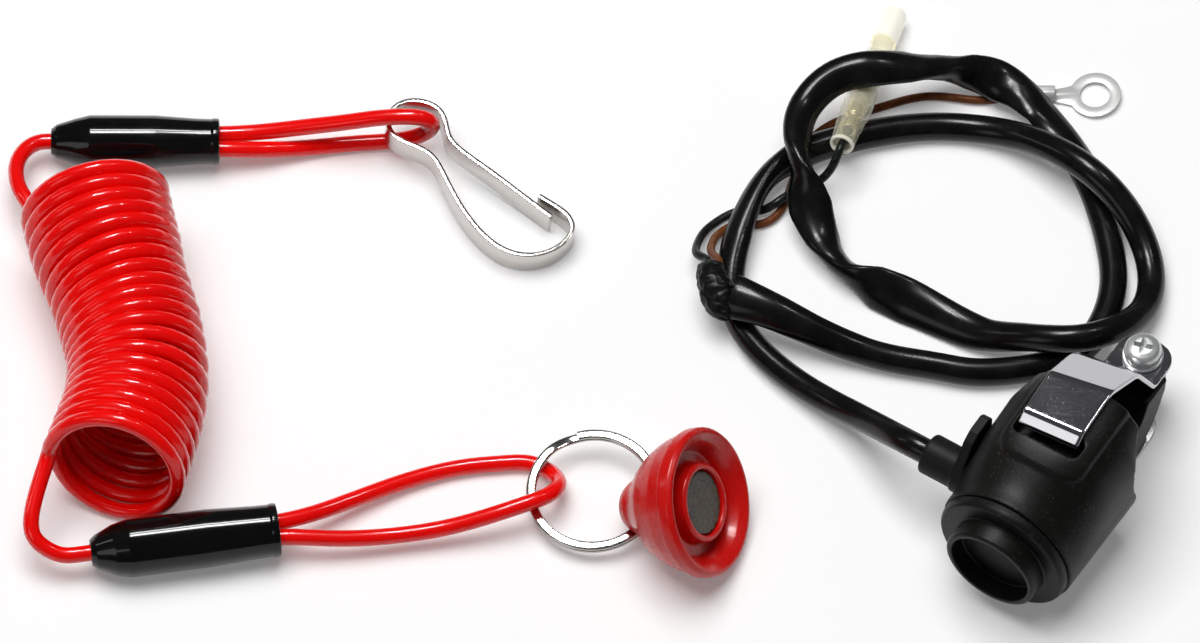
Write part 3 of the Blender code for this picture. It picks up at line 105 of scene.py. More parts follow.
def smoothPath(route, step):
    # evenly spaced points of the natural cubic spline through a route
    route = np.array([tuple(point) for point in route], float)
    count = len(route)
    knots = np.concatenate([[0.0], np.cumsum(np.sqrt(np.linalg.norm(np.diff(route, axis=0), axis=1)))])
    gaps = np.diff(knots)
    system = np.zeros((count, count))
    rates = np.zeros((count, 3))
    system[0, 0] = system[-1, -1] = 1.0
    for i in range(1, count - 1):
        system[i, i - 1 : i + 2] = gaps[i - 1], 2.0 * (gaps[i - 1] + gaps[i]), gaps[i]
        rates[i] = 6.0 * ((route[i + 1] - route[i]) / gaps[i] - (route[i] - route[i - 1]) / gaps[i - 1])
    second = np.linalg.solve(system, rates)
    samples, marks = [], []
    for t in np.linspace(0.0, knots[-1], 40 * count):
        i = min(int(np.searchsorted(knots, t, side="right")) - 1, count - 2)
        a, b, h = knots[i + 1] - t, t - knots[i], gaps[i]
        samples.append(
            (second[i] * a**3 + second[i + 1] * b**3) / (6.0 * h)
            + (route[i] / h - second[i] * h / 6.0) * a
            + (route[i + 1] / h - second[i + 1] * h / 6.0) * b
        )
        marks.append(i + b / h)
    samples = np.array(samples)
    along = np.concatenate([[0.0], np.cumsum(np.linalg.norm(np.diff(samples, axis=0), axis=1))])
    stations = np.linspace(0.0, along[-1], max(2, round(along[-1] / step) + 1))
    path = np.stack([np.interp(stations, along, samples[:, k]) for k in range(3)], axis=1)
    return path, np.interp(stations, along, marks)


def tangents(path):
    # the unit direction at each point
    ways = np.gradient(path, axis=0)
    return ways / np.linalg.norm(ways, axis=1)[:, None]


def roundedLine(corners, steps=5):
    # 2D corners with a fillet radius each, as a finely stepped line
    made = [corners[0][:2]]
    for before, corner, after in zip(corners[:-2], corners[1:-1], corners[2:]):
        here, back, ahead = Vector(corner[:2]), Vector(before[:2]), Vector(after[:2])
        radius = corner[2] if len(corner) > 2 else 0.0
        into, out = (here - back).normalized(), (ahead - here).normalized()
        turn = into.angle(out)
        if radius <= 0.0 or turn < 0.02:
            made.append(tuple(here))
            continue
        cut = min(radius * math.tan(turn / 2), 0.49 * (here - back).length, 0.49 * (ahead - here).length)
        radius = cut / math.tan(turn / 2)
        start, end = here - into * cut, here + out * cut
        middle = here + (out - into).normalized() * radius / math.cos(turn / 2)
        for t in np.linspace(0.0, 1.0, steps):
            spoke = start.lerp(end, t) - middle
            made.append(tuple(middle + spoke.normalized() * radius))
    made.append(corners[-1][:2])
    return made


def skin(name, rings, capped=True, closed=False):
    # a mesh through rings of points, with its ends closed by fans
    rings = np.array(rings, float)
    count, sides = rings.shape[:2]
    verts = rings.reshape(-1, 3).tolist()
    faces = []
    spans = count if closed else count - 1
    for i in range(spans):
        for k in range(sides):
            after, ahead = (k + 1) % sides, ((i + 1) % count) * sides
            faces.append((i * sides + k, i * sides + after, ahead + after, ahead + k))
    if capped and not closed:
        for row, flip in ((0, True), (count - 1, False)):
            verts.append(rings[row].mean(axis=0).tolist())
            for k in range(sides):
                first, second = row * sides + k, row * sides + (k + 1) % sides
                faces.append((second, first, len(verts) - 1) if flip else (first, second, len(verts) - 1))
    mesh = bpy.data.meshes.new(name)
    mesh.from_pydata(verts, [], faces)
    return mesh


def turned(name, profile, sides=96):
    # a body turned about Y from (y, radius) points
    body = bmesh.new()
    rows = []
    for y, radius in profile:
        if radius < 1e-6:
            rows.append([body.verts.new((0.0, y, 0.0))])
            continue
        spokes = [2.0 * math.pi * k / sides for k in range(sides)]
        rows.append([body.verts.new((radius * math.cos(a), y, radius * math.sin(a))) for a in spokes])
    for first, second in zip(rows, rows[1:] if len(rows[0]) == 1 else rows[1:] + rows[:1]):
        for k in range(sides):
            corners = [first[k % len(first)], first[(k + 1) % len(first)]]
            corners += [second[(k + 1) % len(second)], second[k % len(second)]]
            corners = list(dict.fromkeys(corners))
            if len(corners) > 2:
                body.faces.new(corners)
    mesh = bpy.data.meshes.new(name)
    body.to_mesh(mesh)
    body.free()
    return mesh


def settle(mesh, angle):
    # doubles merged, faces turned outwards, edges sharper than the angle kept
    body = bmesh.new()
    body.from_mesh(mesh)
    bmesh.ops.remove_doubles(body, verts=body.verts, dist=0.000002)
    bmesh.ops.recalc_face_normals(body, faces=body.faces)
    body.to_mesh(mesh)
    body.free()
    mesh.shade_smooth()
    mesh.set_sharp_from_angle(angle=math.radians(angle))


def place(name, mesh, finish, body="set", local=None, nodes=(), angle=40.0):
    # a finished piece at the origin that rides on a body and stands for its solids
    if local is not None:
        mesh.transform(local)
    settle(mesh, angle)
    piece = bpy.data.objects.new(name, mesh)
    mesh.materials.clear()
    mesh.materials.append(finish)
    scene.collection.objects.link(piece)
    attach(piece, body)
    if nodes:
        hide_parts(*nodes)
    return piece


def cutAway(mesh, tool, operation="DIFFERENCE"):
    # the mesh with another one cut from it or joined to it
    target = bpy.data.objects.new("target", mesh)
    cutter = bpy.data.objects.new("cutter", tool)
    for item in (target, cutter):
        scene.collection.objects.link(item)
    cut = target.modifiers.new("cut", "BOOLEAN")
    cut.operation = operation
    cut.object = cutter
    cut.solver = "EXACT"
    bpy.context.view_layer.update()
    made = bpy.data.meshes.new_from_object(target.evaluated_get(bpy.context.evaluated_depsgraph_get()))
    for item in (target, cutter):
        bpy.data.objects.remove(item, do_unlink=True)
    return made


def worked(mesh, *steps):
    # the mesh after modifiers given as (kind, settings)
    holder = bpy.data.objects.new("worked", mesh)
    scene.collection.objects.link(holder)
    for kind, settings in steps:
        step = holder.modifiers.new(kind.lower(), kind)
        for key, value in settings.items():
            setattr(step, key, value)
    bpy.context.view_layer.update()
    made = bpy.data.meshes.new_from_object(holder.evaluated_get(bpy.context.evaluated_depsgraph_get()))
    bpy.data.objects.remove(holder, do_unlink=True)
    return made


def prism(name, outline, low, high, frame=None):
    # a closed outline in X and Y raised from low to high, then set in a frame
    rings = [[(x, y, z) for x, y in outline] for z in (low, high)]
    mesh = skin(name, rings)
    if frame is not None:
        mesh.transform(frame)
    settle(mesh, 30.0)
    return mesh


def roundedBox(low, high, radius, steps=6):
    # the outline of a rectangle with rounded corners
    points = []
    for cx, cy, first in (
        (high[0], high[1], 0), (low[0], high[1], 90), (low[0], low[1], 180), (high[0], low[1], 270)
    ):
        x = cx - math.copysign(radius, cx - (low[0] + high[0]) / 2)
        y = cy - math.copysign(radius, cy - (low[1] + high[1]) / 2)
        for turn in np.linspace(first, first + 90.0, steps):
            points.append(
                (x + radius * math.cos(math.radians(turn)), y + radius * math.sin(math.radians(turn)))
            )
    return points


def bevelled(mesh, width):
    # a fine bevel on the sharp edges
    sharp = math.radians(50.0)
    return worked(
        mesh, ("BEVEL", {"width": width, "segments": 2, "limit_method": "ANGLE", "angle_limit": sharp})
    )


def moulded(mesh, voxel):
    # joined shapes melted into one skin with soft corners
    melt = {"mode": "VOXEL", "voxel_size": voxel}
    return worked(mesh, ("REMESH", melt), ("SMOOTH", {"factor": 0.5, "iterations": 4}))


class Sock:
    # a socket that takes part in sums
    def __init__(self, kit, socket):
        self.kit = kit
        self.socket = socket

    def sum(self, operation, first, second):
        return self.kit.node("ShaderNodeMath", {"operation": operation}, {0: first, 1: second})

    def __add__(self, other):
        return self.sum("ADD", self, other)

    def __radd__(self, other):
        return self.sum("ADD", other, self)

    def __sub__(self, other):
        return self.sum("SUBTRACT", self, other)

    def __rsub__(self, other):
        return self.sum("SUBTRACT", other, self)

    def __mul__(self, other):
        return self.sum("MULTIPLY", self, other)

    def __rmul__(self, other):
        return self.sum("MULTIPLY", other, self)


class Finish:
    # one material: its Principled shader and the nodes that vary it
    def __init__(self, name, colour, roughness, **fixed):
        self.material = bpy.data.materials.new(name)
        self.material.use_nodes = True
        self.tree = self.material.node_tree
        self.shader = self.tree.nodes["Principled BSDF"]
        self.colour = (*colour, 1.0)
        self.shader.inputs["Base Color"].default_value = self.colour
        self.shader.inputs["Roughness"].default_value = roughness
        for words, value in fixed.items():
            self.shader.inputs[words.replace("_", " ")].default_value = value

    def node(self, kind, settings=None, inputs=None, output=0):
        made = self.tree.nodes.new(kind)
        for key, value in (settings or {}).items():
            if key == "stops":
                ramp = made.color_ramp
                while len(ramp.elements) < len(value):
                    ramp.elements.new(0.5)
                for stop, (at, level) in zip(ramp.elements, value):
                    stop.position = at
                    stop.color = (level, level, level, 1.0)
            else:
                setattr(made, key, value)
        for key, value in (inputs or {}).items():
            if isinstance(value, Sock):
                self.tree.links.new(value.socket, made.inputs[key])
            else:
                made.inputs[key].default_value = value
        return Sock(self, made.outputs[output])

    def where(self, stretch=None, turn=(0.0, 0.0, 0.0), centre=None):
        spot = self.node("ShaderNodeTexCoord", output="Object")
        if centre is not None:
            spot = self.node("ShaderNodeVectorMath", {"operation": "SUBTRACT"}, {0: spot, 1: centre})
        if stretch is None:
            return spot
        spun = {"Vector": spot, "Rotation": tuple(math.radians(a) for a in turn), "Scale": stretch}
        return self.node("ShaderNodeMapping", None, spun)

    def cloud(self, spot, scale, detail=2.0, rough=0.5):
        return self.node(
            "ShaderNodeTexNoise", None, {
                "Vector": spot, "Scale": scale, "Detail": detail, "Roughness": rough
            }
        )

    def ramp(self, value, *stops):
        return self.node("ShaderNodeValToRGB", {"stops": stops}, {0: value})

    def blend(self, share, first, second):
        # the share picks between two colours
        ends = {"Factor": share, 6: first, 7: second}
        ends = {k: (*v, 1.0) if isinstance(v, tuple) and len(v) == 3 else v for k, v in ends.items()}
        return self.node("ShaderNodeMix", {"data_type": "RGBA", "clamp_factor": True}, ends, 2)

    def bump(self, height, strength, distance, normal=None):
        ends = {"Height": height, "Strength": strength, "Distance": distance}
        if normal is not None:
            ends["Normal"] = normal
        return self.node("ShaderNodeBump", None, ends)

    def feed(self, name, value):
        self.tree.links.new(value.socket, self.shader.inputs[name])
        return self


def mouldedPlastic(name, look):
    # moulded black plastic or rubber with pale dust in its grain
    made = Finish(name, look["colour"], look["roughness"], Specular_IOR_Level=0.15)
    spot = made.where()
    cloud = made.cloud(spot, look["cloud"], 4.0, 0.6)
    grain = made.cloud(spot, look["grain"], 3.0, 0.7)
    dust = made.ramp(made.cloud(spot, look["dust"], 5.0, 0.75), (0.56, 0.0), (0.68, 1.0))
    dusty = dust * made.ramp(cloud, (0.42, 0.0), (0.62, 1.0))
    made.feed("Base Color", made.blend(dusty * look["dustShare"], made.colour, look["dustColour"]))
    made.feed("Roughness", cloud * 0.16 + grain * 0.10 + dusty * 0.15 + (look["roughness"] - 0.13))
    made.feed("Normal", made.bump(grain + cloud * 1.5, 0.35, look["grainDepth"]))
    return made.material


def softVinyl(name, look):
    # smooth plasticised vinyl, with slow dents and a faint bloom
    made = Finish(
        name, look["colour"], look["roughness"], Specular_IOR_Level=0.12, Coat_Roughness=look["coatRough"],
        Coat_IOR=1.3,
        Coat_Weight=look["coat"],
    )
    spot = made.where()
    slow = made.cloud(spot, look["dents"], 2.0, 0.45)
    fine = made.cloud(spot, look["grain"], 3.0, 0.6)
    bloom = made.ramp(made.cloud(spot, look["bloom"], 4.0, 0.6), (0.48, 0.0), (0.80, 1.0))
    made.feed("Base Color", made.blend(bloom * 0.30, made.colour, look["bloomColour"]))
    made.feed("Roughness", slow * 0.12 + fine * 0.03 + bloom * 0.05 + (look["roughness"] - 0.08))
    made.feed("Normal", made.bump(slow + fine * 0.008, 0.30, look["dentDepth"]))
    return made.material


def tetherVinyl(look):
    # red polyurethane: clear gloss over a colour that deepens in slow patches
    made = Finish(
        "redTetherCord", look["colour"], look["roughness"], Specular_IOR_Level=0.15, Coat_Weight=1.0,
        Coat_Roughness=0.04, Coat_IOR=1.35,
    )
    spot = made.where()
    slow = made.cloud(spot, look["patches"], 2.0, 0.5)
    fine = made.cloud(spot, look["grain"], 4.0, 0.6)
    deep = made.ramp(slow, (0.30, 0.0), (0.72, 1.0))
    made.feed("Base Color", made.blend(deep * 0.55, made.colour, look["deepColour"]))
    made.feed("Roughness", slow * 0.07 + fine * 0.06 + (look["roughness"] - 0.05))
    made.feed("Normal", made.bump(slow + fine * 0.02, 0.10, 0.0003))
    return made.material


def capPlastic(look):
    # red moulded plastic, a little paler in clouds and specks
    made = Finish(
        "redCapPlastic", look["colour"], look["roughness"], Specular_IOR_Level=0.25, Coat_Weight=0.3,
        Coat_Roughness=0.10, Coat_IOR=1.35
    )
    spot = made.where()
    cloud = made.cloud(spot, look["cloud"], 4.0, 0.55)
    speck = made.ramp(made.cloud(spot, look["speck"], 3.0, 0.6), (0.66, 0.0), (0.76, 1.0))
    drag = made.cloud(made.where((900.0, 120.0, 120.0), (0.0, 20.0, 16.0)), 1.0, 3.0, 0.6)
    made.feed("Base Color", made.blend(cloud * 0.40 + speck * 0.30, made.colour, look["paleColour"]))
    made.feed("Roughness", cloud * 0.16 + speck * 0.12 + drag * 0.08 + (look["roughness"] - 0.14))
    made.feed("Normal", made.bump(cloud * 0.3 + drag * 0.25 + speck * 0.2, 0.25, 0.00006))
    return made.material


def platedMetal(name, look):
    # a bright plating with hairlines, dull specks and slow dimples
    made = Finish(name, look["colour"], look["roughness"], Metallic=look["metal"], Specular_IOR_Level=0.1)
    spot = made.where()
    lineA = made.ramp(
        made.cloud(made.where(look["lines"], look["turnA"]), 1.0, 2.0, 0.6), (0.60, 0.0), (0.70, 1.0)
    )
    lineB = made.ramp(
        made.cloud(made.where(look["lines"], look["turnB"]), 1.0, 2.0, 0.6), (0.64, 0.0), (0.72, 1.0)
    )
    speck = made.ramp(made.cloud(spot, look["specks"], 4.0, 0.7), (0.60, 0.0), (0.72, 1.0))
    slow = made.cloud(spot, look["dimples"], 2.0, 0.5)
    worn = lineA * look["lineShare"] + lineB * look["lineShare"] * 0.7 + speck * look["speckShare"]
    made.feed("Base Color", made.blend(worn * 0.5 + slow * 0.15, made.colour, look["wornColour"]))
    made.feed("Roughness", worn * look["wornRough"] + slow * 0.06 + (look["roughness"] - 0.03))
    made.feed("Normal", made.bump(worn * -0.06 + slow, look["depth"], 0.0002))
    return made.material


def magnetFace(look):
    # dark ground ceramic with pale clouds, chips and bright hairlines
    made = Finish("magnetCeramic", look["colour"], 0.42, Metallic=0.0)
    spot = made.where()
    cloud = made.ramp(made.cloud(spot, 620.0, 5.0, 0.7), (0.47, 0.0), (0.57, 1.0))
    chips = made.ramp(made.cloud(spot, 1300.0, 4.0, 0.7), (0.55, 0.0), (0.68, 1.0))
    hair = made.ramp(
        made.cloud(
            made.where((200.0, 3200.0, 900.0), (20.0, 0.0, 35.0)), 1.0, 2.0, 0.6
        ), (0.62, 0.0), (0.7, 1.0)
    )
    made.feed(
        "Base Color", made.blend(cloud * 0.6 + chips * 0.4 + hair * 0.4, made.colour, look["paleColour"])
    )
    made.feed("Metallic", hair * 0.4 + cloud * 0.3)
    made.feed("Roughness", cloud * 0.3 + chips * 0.2 + 0.18)
    made.feed("Normal", made.bump(chips * -0.5 + hair * 0.4 + cloud, 0.4, 0.0001))
    return made.material


def milkySleeve(look):
    # clear vinyl that has yellowed, and is milky where nothing fills it; the milky part also carries a
    # painted glow
    made = Finish(
        "milkyBulletSleeve", look["colour"], 0.12, Coat_Weight=0.9, Coat_Roughness=0.04,
        Emission_Strength=1.0
    )
    spot = made.where()
    cloud = made.cloud(spot, 150.0, 2.0, 0.5)
    milk = made.node("ShaderNodeAttribute", {"attribute_name": "milk"}, output=2)
    edge = made.node("ShaderNodeLayerWeight", None, {"Blend": 0.35}, 1)
    made.feed("Base Color", made.blend(milk * 0.9 + cloud * 0.1, look["yellowColour"], made.colour))
    made.feed("Roughness", cloud * 0.10 + milk * 0.20 + 0.04)
    made.feed("Alpha", milk * (0.98 - look["cover"]) + edge * 0.30 + look["cover"])
    # painted glow: the milky part emits a faint light of its own, standing in for light passing through it
    made.feed("Emission Color", made.blend(milk, (0.0, 0.0, 0.0), look["paintedGlowColour"]))
    made.feed("Normal", made.bump(cloud, 0.25, 0.0004))
    return made.material


plasticLook = {
    "colour": (0.0058, 0.0056, 0.0050), "dustColour": (0.19, 0.185, 0.165), "roughness": 0.38, "cloud": 70.0,
    "grain": 2300.0, "grainDepth": 0.00012, "dust": 1500.0, "dustShare": 0.24,
}
rubberLook = {
    "colour": (0.0070, 0.0067, 0.0064), "dustColour": (0.10, 0.095, 0.09), "roughness": 0.50, "cloud": 140.0,
    "grain": 3600.0, "grainDepth": 0.00004, "dust": 1800.0, "dustShare": 0.22,
}
sleeveLook = {
    "colour": (0.0035, 0.0034, 0.0033), "bloomColour": (0.022, 0.021, 0.020), "roughness": 0.27,
    "coatRough": 0.15, "coat": 0.5, "dents": 34.0, "grain": 1400.0, "bloom": 160.0, "dentDepth": 0.0003,
}
bootLook = {
    "colour": (0.0025, 0.0025, 0.0025), "bloomColour": (0.012, 0.012, 0.012), "roughness": 0.16,
    "coatRough": 0.05, "coat": 0.9, "dents": 45.0, "grain": 1100.0, "bloom": 150.0, "dentDepth": 0.0006,
}
tapeLook = {
    "colour": (0.0035, 0.0035, 0.0035), "bloomColour": (0.024, 0.023, 0.022), "roughness": 0.38,
    "coatRough": 0.2, "coat": 0.15, "dents": 260.0, "grain": 1900.0, "bloom": 700.0, "dentDepth": 0.0008,
}
wireLook = {
    "colour": (0.0080, 0.0095, 0.0085), "bloomColour": (0.09, 0.10, 0.09), "roughness": 0.30,
    "coatRough": 0.12, "coat": 0.25, "dents": 300.0, "grain": 3000.0, "bloom": 900.0, "dentDepth": 0.0003,
}
brownLook = {
    "colour": (0.15, 0.045, 0.014), "bloomColour": (0.36, 0.15, 0.07), "roughness": 0.36, "coatRough": 0.15,
    "coat": 0.2, "dents": 300.0, "grain": 2600.0, "bloom": 500.0, "dentDepth": 0.0003,
}
cordLook = {
    "colour": (0.95, 0.0020, 0.0010), "deepColour": (0.82, 0.001, 0.001), "roughness": 0.22, "patches": 60.0,
    "grain": 900.0,
}
capLook = {
    "colour": (0.58, 0.004, 0.003), "paleColour": (0.68, 0.014, 0.010), "roughness": 0.30, "cloud": 230.0,
    "speck": 1500.0,
}
chromeLook = {
    "colour": (0.52, 0.515, 0.54), "wornColour": (0.40, 0.39, 0.36), "roughness": 0.07, "metal": 1.0,
    "lineShare": 0.22, "lines": (130.0, 4200.0, 900.0), "turnA": (0.0, 0.0, 22.0),
    "turnB": (0.0, 0.0, -50.0), "specks": 2400.0, "speckShare": 0.8, "wornRough": 0.22, "dimples": 60.0,
    "depth": 0.10,
}
nickelLook = {
    "colour": (0.60, 0.575, 0.55), "wornColour": (0.40, 0.37, 0.35), "roughness": 0.15, "metal": 1.0,
    "lineShare": 0.4, "lines": (160.0, 3200.0, 700.0), "turnA": (0.0, 0.0, -32.0), "turnB": (0.0, 0.0, 40.0),
    "specks": 1500.0, "speckShare": 0.35, "wornRough": 0.18, "dimples": 160.0, "depth": 0.16,
}
zincLook = {
    "colour": (0.66, 0.67, 0.67), "wornColour": (0.34, 0.36, 0.35), "roughness": 0.30, "metal": 0.7,
    "lineShare": 0.5, "lines": (500.0, 3000.0, 500.0), "turnA": (0.0, 0.0, 10.0), "turnB": (0.0, 0.0, 80.0),
    "specks": 1900.0, "speckShare": 0.7, "wornRough": 0.28, "dimples": 500.0, "depth": 0.35,
}
tinLook = {
    "colour": (0.60, 0.60, 0.59), "wornColour": (0.31, 0.31, 0.31), "roughness": 0.34, "metal": 0.25,
    "lineShare": 0.5, "lines": (140.0, 2600.0, 700.0), "turnA": (0.0, 0.0, 5.0), "turnB": (0.0, 0.0, 70.0),
    "specks": 1100.0, "speckShare": 0.5, "wornRough": 0.20, "dimples": 200.0, "depth": 0.20,
}
brassLook = {
    "colour": (0.76, 0.64, 0.36), "wornColour": (0.50, 0.40, 0.22), "roughness": 0.26, "metal": 1.0,
    "lineShare": 0.4, "lines": (300.0, 2600.0, 700.0), "turnA": (0.0, 0.0, 70.0), "turnB": (0.0, 0.0, 10.0),
    "specks": 1300.0, "speckShare": 0.4, "wornRough": 0.22, "dimples": 300.0, "depth": 0.25,
}
steelLook = {
    "colour": (0.50, 0.50, 0.50), "wornColour": (0.30, 0.30, 0.30), "roughness": 0.34, "metal": 1.0,
    "lineShare": 0.5, "lines": (300.0, 2600.0, 700.0), "turnA": (0.0, 0.0, 30.0), "turnB": (0.0, 0.0, -30.0),
    "specks": 1300.0, "speckShare": 0.4, "wornRough": 0.22, "dimples": 200.0, "depth": 0.2,
}
blackPlastic = mouldedPlastic("mouldedBlackPlastic", plasticLook)
blackRubber = mouldedPlastic("blackGlandRubber", rubberLook)
sleeveVinyl = softVinyl("blackSleeveVinyl", sleeveLook)
bootVinyl = softVinyl("blackBootVinyl", bootLook)
tapeVinyl = softVinyl("blackBindingTape", tapeLook)
wireVinyl = softVinyl("blackWireInsulation", wireLook)
brownVinyl = softVinyl("brownWireInsulation", brownLook)
redCord = tetherVinyl(cordLook)
redCap = capPlastic(capLook)
chrome = platedMetal("scratchedChrome", chromeLook)
nickel = platedMetal("brightNickel", nickelLook)
ringNickel = platedMetal("darkRingNickel", {**nickelLook, "colour": (0.46, 0.445, 0.42), "roughness": 0.12})
zinc = platedMetal("zincPlate", zincLook)
tinned = platedMetal("tinnedCopper", tinLook)
brass = platedMetal("yellowBrass", brassLook)
steel = platedMetal("plainSteel", steelLook)
magnetDark = magnetFace({"colour": (0.014, 0.011, 0.006), "paleColour": (0.16, 0.14, 0.095)})
# the third colour is the painted glow of the milky part, not a colour of the vinyl itself
clearVinyl = milkySleeve(
    {
        "colour": (0.99, 0.97, 0.86), "yellowColour": (0.86, 0.84, 0.62), "paintedGlowColour": (0.22, 0.21, 0.18),
        "cover": 0.14
    }
)
print("finishes made")

viewLook = {
    "elevation": 57.4, "distance": 5.0, "pixelsPerMm": 4.4, "lookAt": (0.0, 0.0, 0.0), "sensor": 36.0,
    "pictureWidth": 1200.0,
}


def makeCamera():
    # a long lens, so that the picture keeps its scale from left to right
    rise = math.radians(viewLook["elevation"])
    target = onTable(*viewLook["lookAt"])
    camera = bpy.data.objects.new("tableCamera", bpy.data.cameras.new("tableCamera"))
    scene.collection.objects.link(camera)
    camera.data.sensor_width = viewLook["sensor"]
    pixelsPerMetre = viewLook["pixelsPerMm"] / mm
    camera.data.lens = pixelsPerMetre * viewLook["sensor"] / viewLook["pictureWidth"] * viewLook["distance"]
    camera.data.clip_end = 50.0
    camera.location = target + Vector((0.0, -math.cos(rise), math.sin(rise))) * viewLook["distance"]
    camera.rotation_euler = (math.pi / 2 - rise, 0.0, 0.0)
    scene.camera = camera


lampLook = {
    # name: (where it stands, size x, size y, watts, whether it lights, whether gloss shows it)
    "softTop": ((-0.30, 0.26, 1.95), 1.5, 1.5, 40.5, True, False),
    "firstTube": ((-0.13, 0.23, 0.93), 0.28, 0.110, 5.0, False, True),
    "secondTube": ((-0.13, 0.38, 0.87), 0.28, 0.060, 2.5, False, True),
    "sideTube": ((0.32, 0.30, 0.86), 0.08, 0.060, 0.8, False, True),
    "leftGlow": ((-0.90, 0.15, 0.55), 0.10, 0.40, 0.4, False, True),
    "frontGlow": ((-0.62, -0.58, 0.54), 0.40, 0.40, 0.75, False, True),
}
studioLook = {"lampAim": (-0.02, 0.0, 0.0), "air": (0.93, 0.96, 1.0, 1.0), "airStrength": 0.08}


def makeLamps():
    # one broad soft lamp lights the set, and the others are there for the gloss
    middle = Vector(studioLook["lampAim"])
    for name, (spot, wide, deep, watts, lights, glossy) in lampLook.items():
        lamp = bpy.data.lights.new(name, "AREA")
        lamp.shape = "RECTANGLE"
        lamp.size, lamp.size_y = wide, deep
        lamp.energy = watts
        holder = bpy.data.objects.new(name, lamp)
        scene.collection.objects.link(holder)
        holder.location = spot
        holder.rotation_euler = (middle - Vector(spot)).to_track_quat("-Z", "Y").to_euler()
        holder.visible_diffuse, holder.visible_glossy = lights, glossy
    world = bpy.data.worlds.new("studio")
    world.use_nodes = True
    air = world.node_tree.nodes["Background"]
    air.inputs["Color"].default_value = studioLook["air"]
    air.inputs["Strength"].default_value = studioLook["airStrength"]
    scene.world = world
    scene.view_settings.view_transform = "Standard"


floorLook = {"half": 4.0, "colour": (0.86, 0.86, 0.86), "lift": 0.18}


def makeFloor():
    # white paper: what the camera, gloss and glass see of it is lifted a little
    half = floorLook["half"]
    mesh = bpy.data.meshes.new("floor")
    mesh.from_pydata(
        [(-half, -half, 0.0), (half, -half, 0.0), (half, half, 0.0), (-half, half, 0.0)], [], [(0, 1, 2, 3)]
    )
    paper = Finish("whitePaper", floorLook["colour"], 0.9, Specular_IOR_Level=0.0)
    seen = [
        paper.node("ShaderNodeLightPath", output=ray)
        for ray in ("Is Camera Ray", "Is Glossy Ray", "Is Transmission Ray")
    ]
    share = paper.node("ShaderNodeMath", {"operation": "MINIMUM"}, {0: seen[0] + seen[1] + seen[2], 1: 1.0})
    glow = paper.node(
        "ShaderNodeEmission", None, {"Color": (1.0, 1.0, 1.0, 1.0), "Strength": share * floorLook["lift"]}
    )
    both = paper.node("ShaderNodeAddShader", None, {0: Sock(paper, paper.shader.outputs[0]), 1: glow})
    paper.tree.links.new(both.socket, paper.tree.nodes["Material Output"].inputs["Surface"])
    mesh.materials.append(paper.material)
    floor = bpy.data.objects.new("floor", mesh)
    scene.collection.objects.link(floor)


makeCamera()
makeLamps()
makeFloor()
print("camera, lamps and floor set")


def roundCordTree():
    # one node tree sweeps every round cord, and winds it where its points swing out
    tree = bpy.data.node_groups.new("roundCord", "GeometryNodeTree")
    tree.is_modifier = True
    face = tree.interface
    face.new_socket("Geometry", in_out="INPUT", socket_type="NodeSocketGeometry")
    for words, kind in (
        ("Cord diameter", "Float"), ("Coil diameter", "Float"), ("Sides", "Int"), ("Finish", "Material")
    ):
        face.new_socket(words, in_out="INPUT", socket_type="NodeSocket" + kind)
    face.new_socket("Geometry", in_out="OUTPUT", socket_type="NodeSocketGeometry")
    nodes, links = tree.nodes, tree.links

    def add(kind, settings=None, **ends):
        made = nodes.new(kind)
        for key, value in (settings or {}).items():
            setattr(made, key, value)
        for key, value in ends.items():
            socket = made.inputs[int(key[1:])] if key[1:].isdigit() else made.inputs[key.replace("_", " ")]
            if isinstance(value, bpy.types.NodeSocket):
                links.new(value, socket)
            else:
                socket.default_value = value
        return made

    start = nodes.new("NodeGroupInput")
    end = nodes.new("NodeGroupOutput")
    across = add(
        "ShaderNodeMath", {"operation": "SUBTRACT"}, s0=start.outputs["Coil diameter"],
        s1=start.outputs["Cord diameter"]
    )
    reach = add("ShaderNodeMath", {"operation": "MULTIPLY"}, s0=across.outputs[0], s1=0.5)
    swing = add("GeometryNodeInputNamedAttribute", {"data_type": "FLOAT_VECTOR"}, Name="swing")
    wound = add(
        "ShaderNodeVectorMath", {"operation": "SCALE"}, s0=swing.outputs["Attribute"], Scale=reach.outputs[0]
    )
    moved = add("GeometryNodeSetPosition", Geometry=start.outputs["Geometry"], Offset=wound.outputs[0])
    line = add("GeometryNodeMeshToCurve", Mesh=moved.outputs[0])
    half = add("ShaderNodeMath", {"operation": "MULTIPLY"}, s0=start.outputs["Cord diameter"], s1=0.5)
    ring = add(
        "GeometryNodeCurvePrimitiveCircle", {"mode": "RADIUS"}, Resolution=start.outputs["Sides"],
        Radius=half.outputs[0]
    )
    tube = add(
        "GeometryNodeCurveToMesh", Curve=line.outputs[0], Profile_Curve=ring.outputs[0], Fill_Caps=True
    )
    real = add("GeometryNodeRealizeInstances", Geometry=tube.outputs[0])
    done = add("GeometryNodeSetMaterial", Geometry=real.outputs[0], Material=start.outputs["Finish"])
    links.new(done.outputs[0], end.inputs[0])
    return tree


cordTree = roundCordTree()


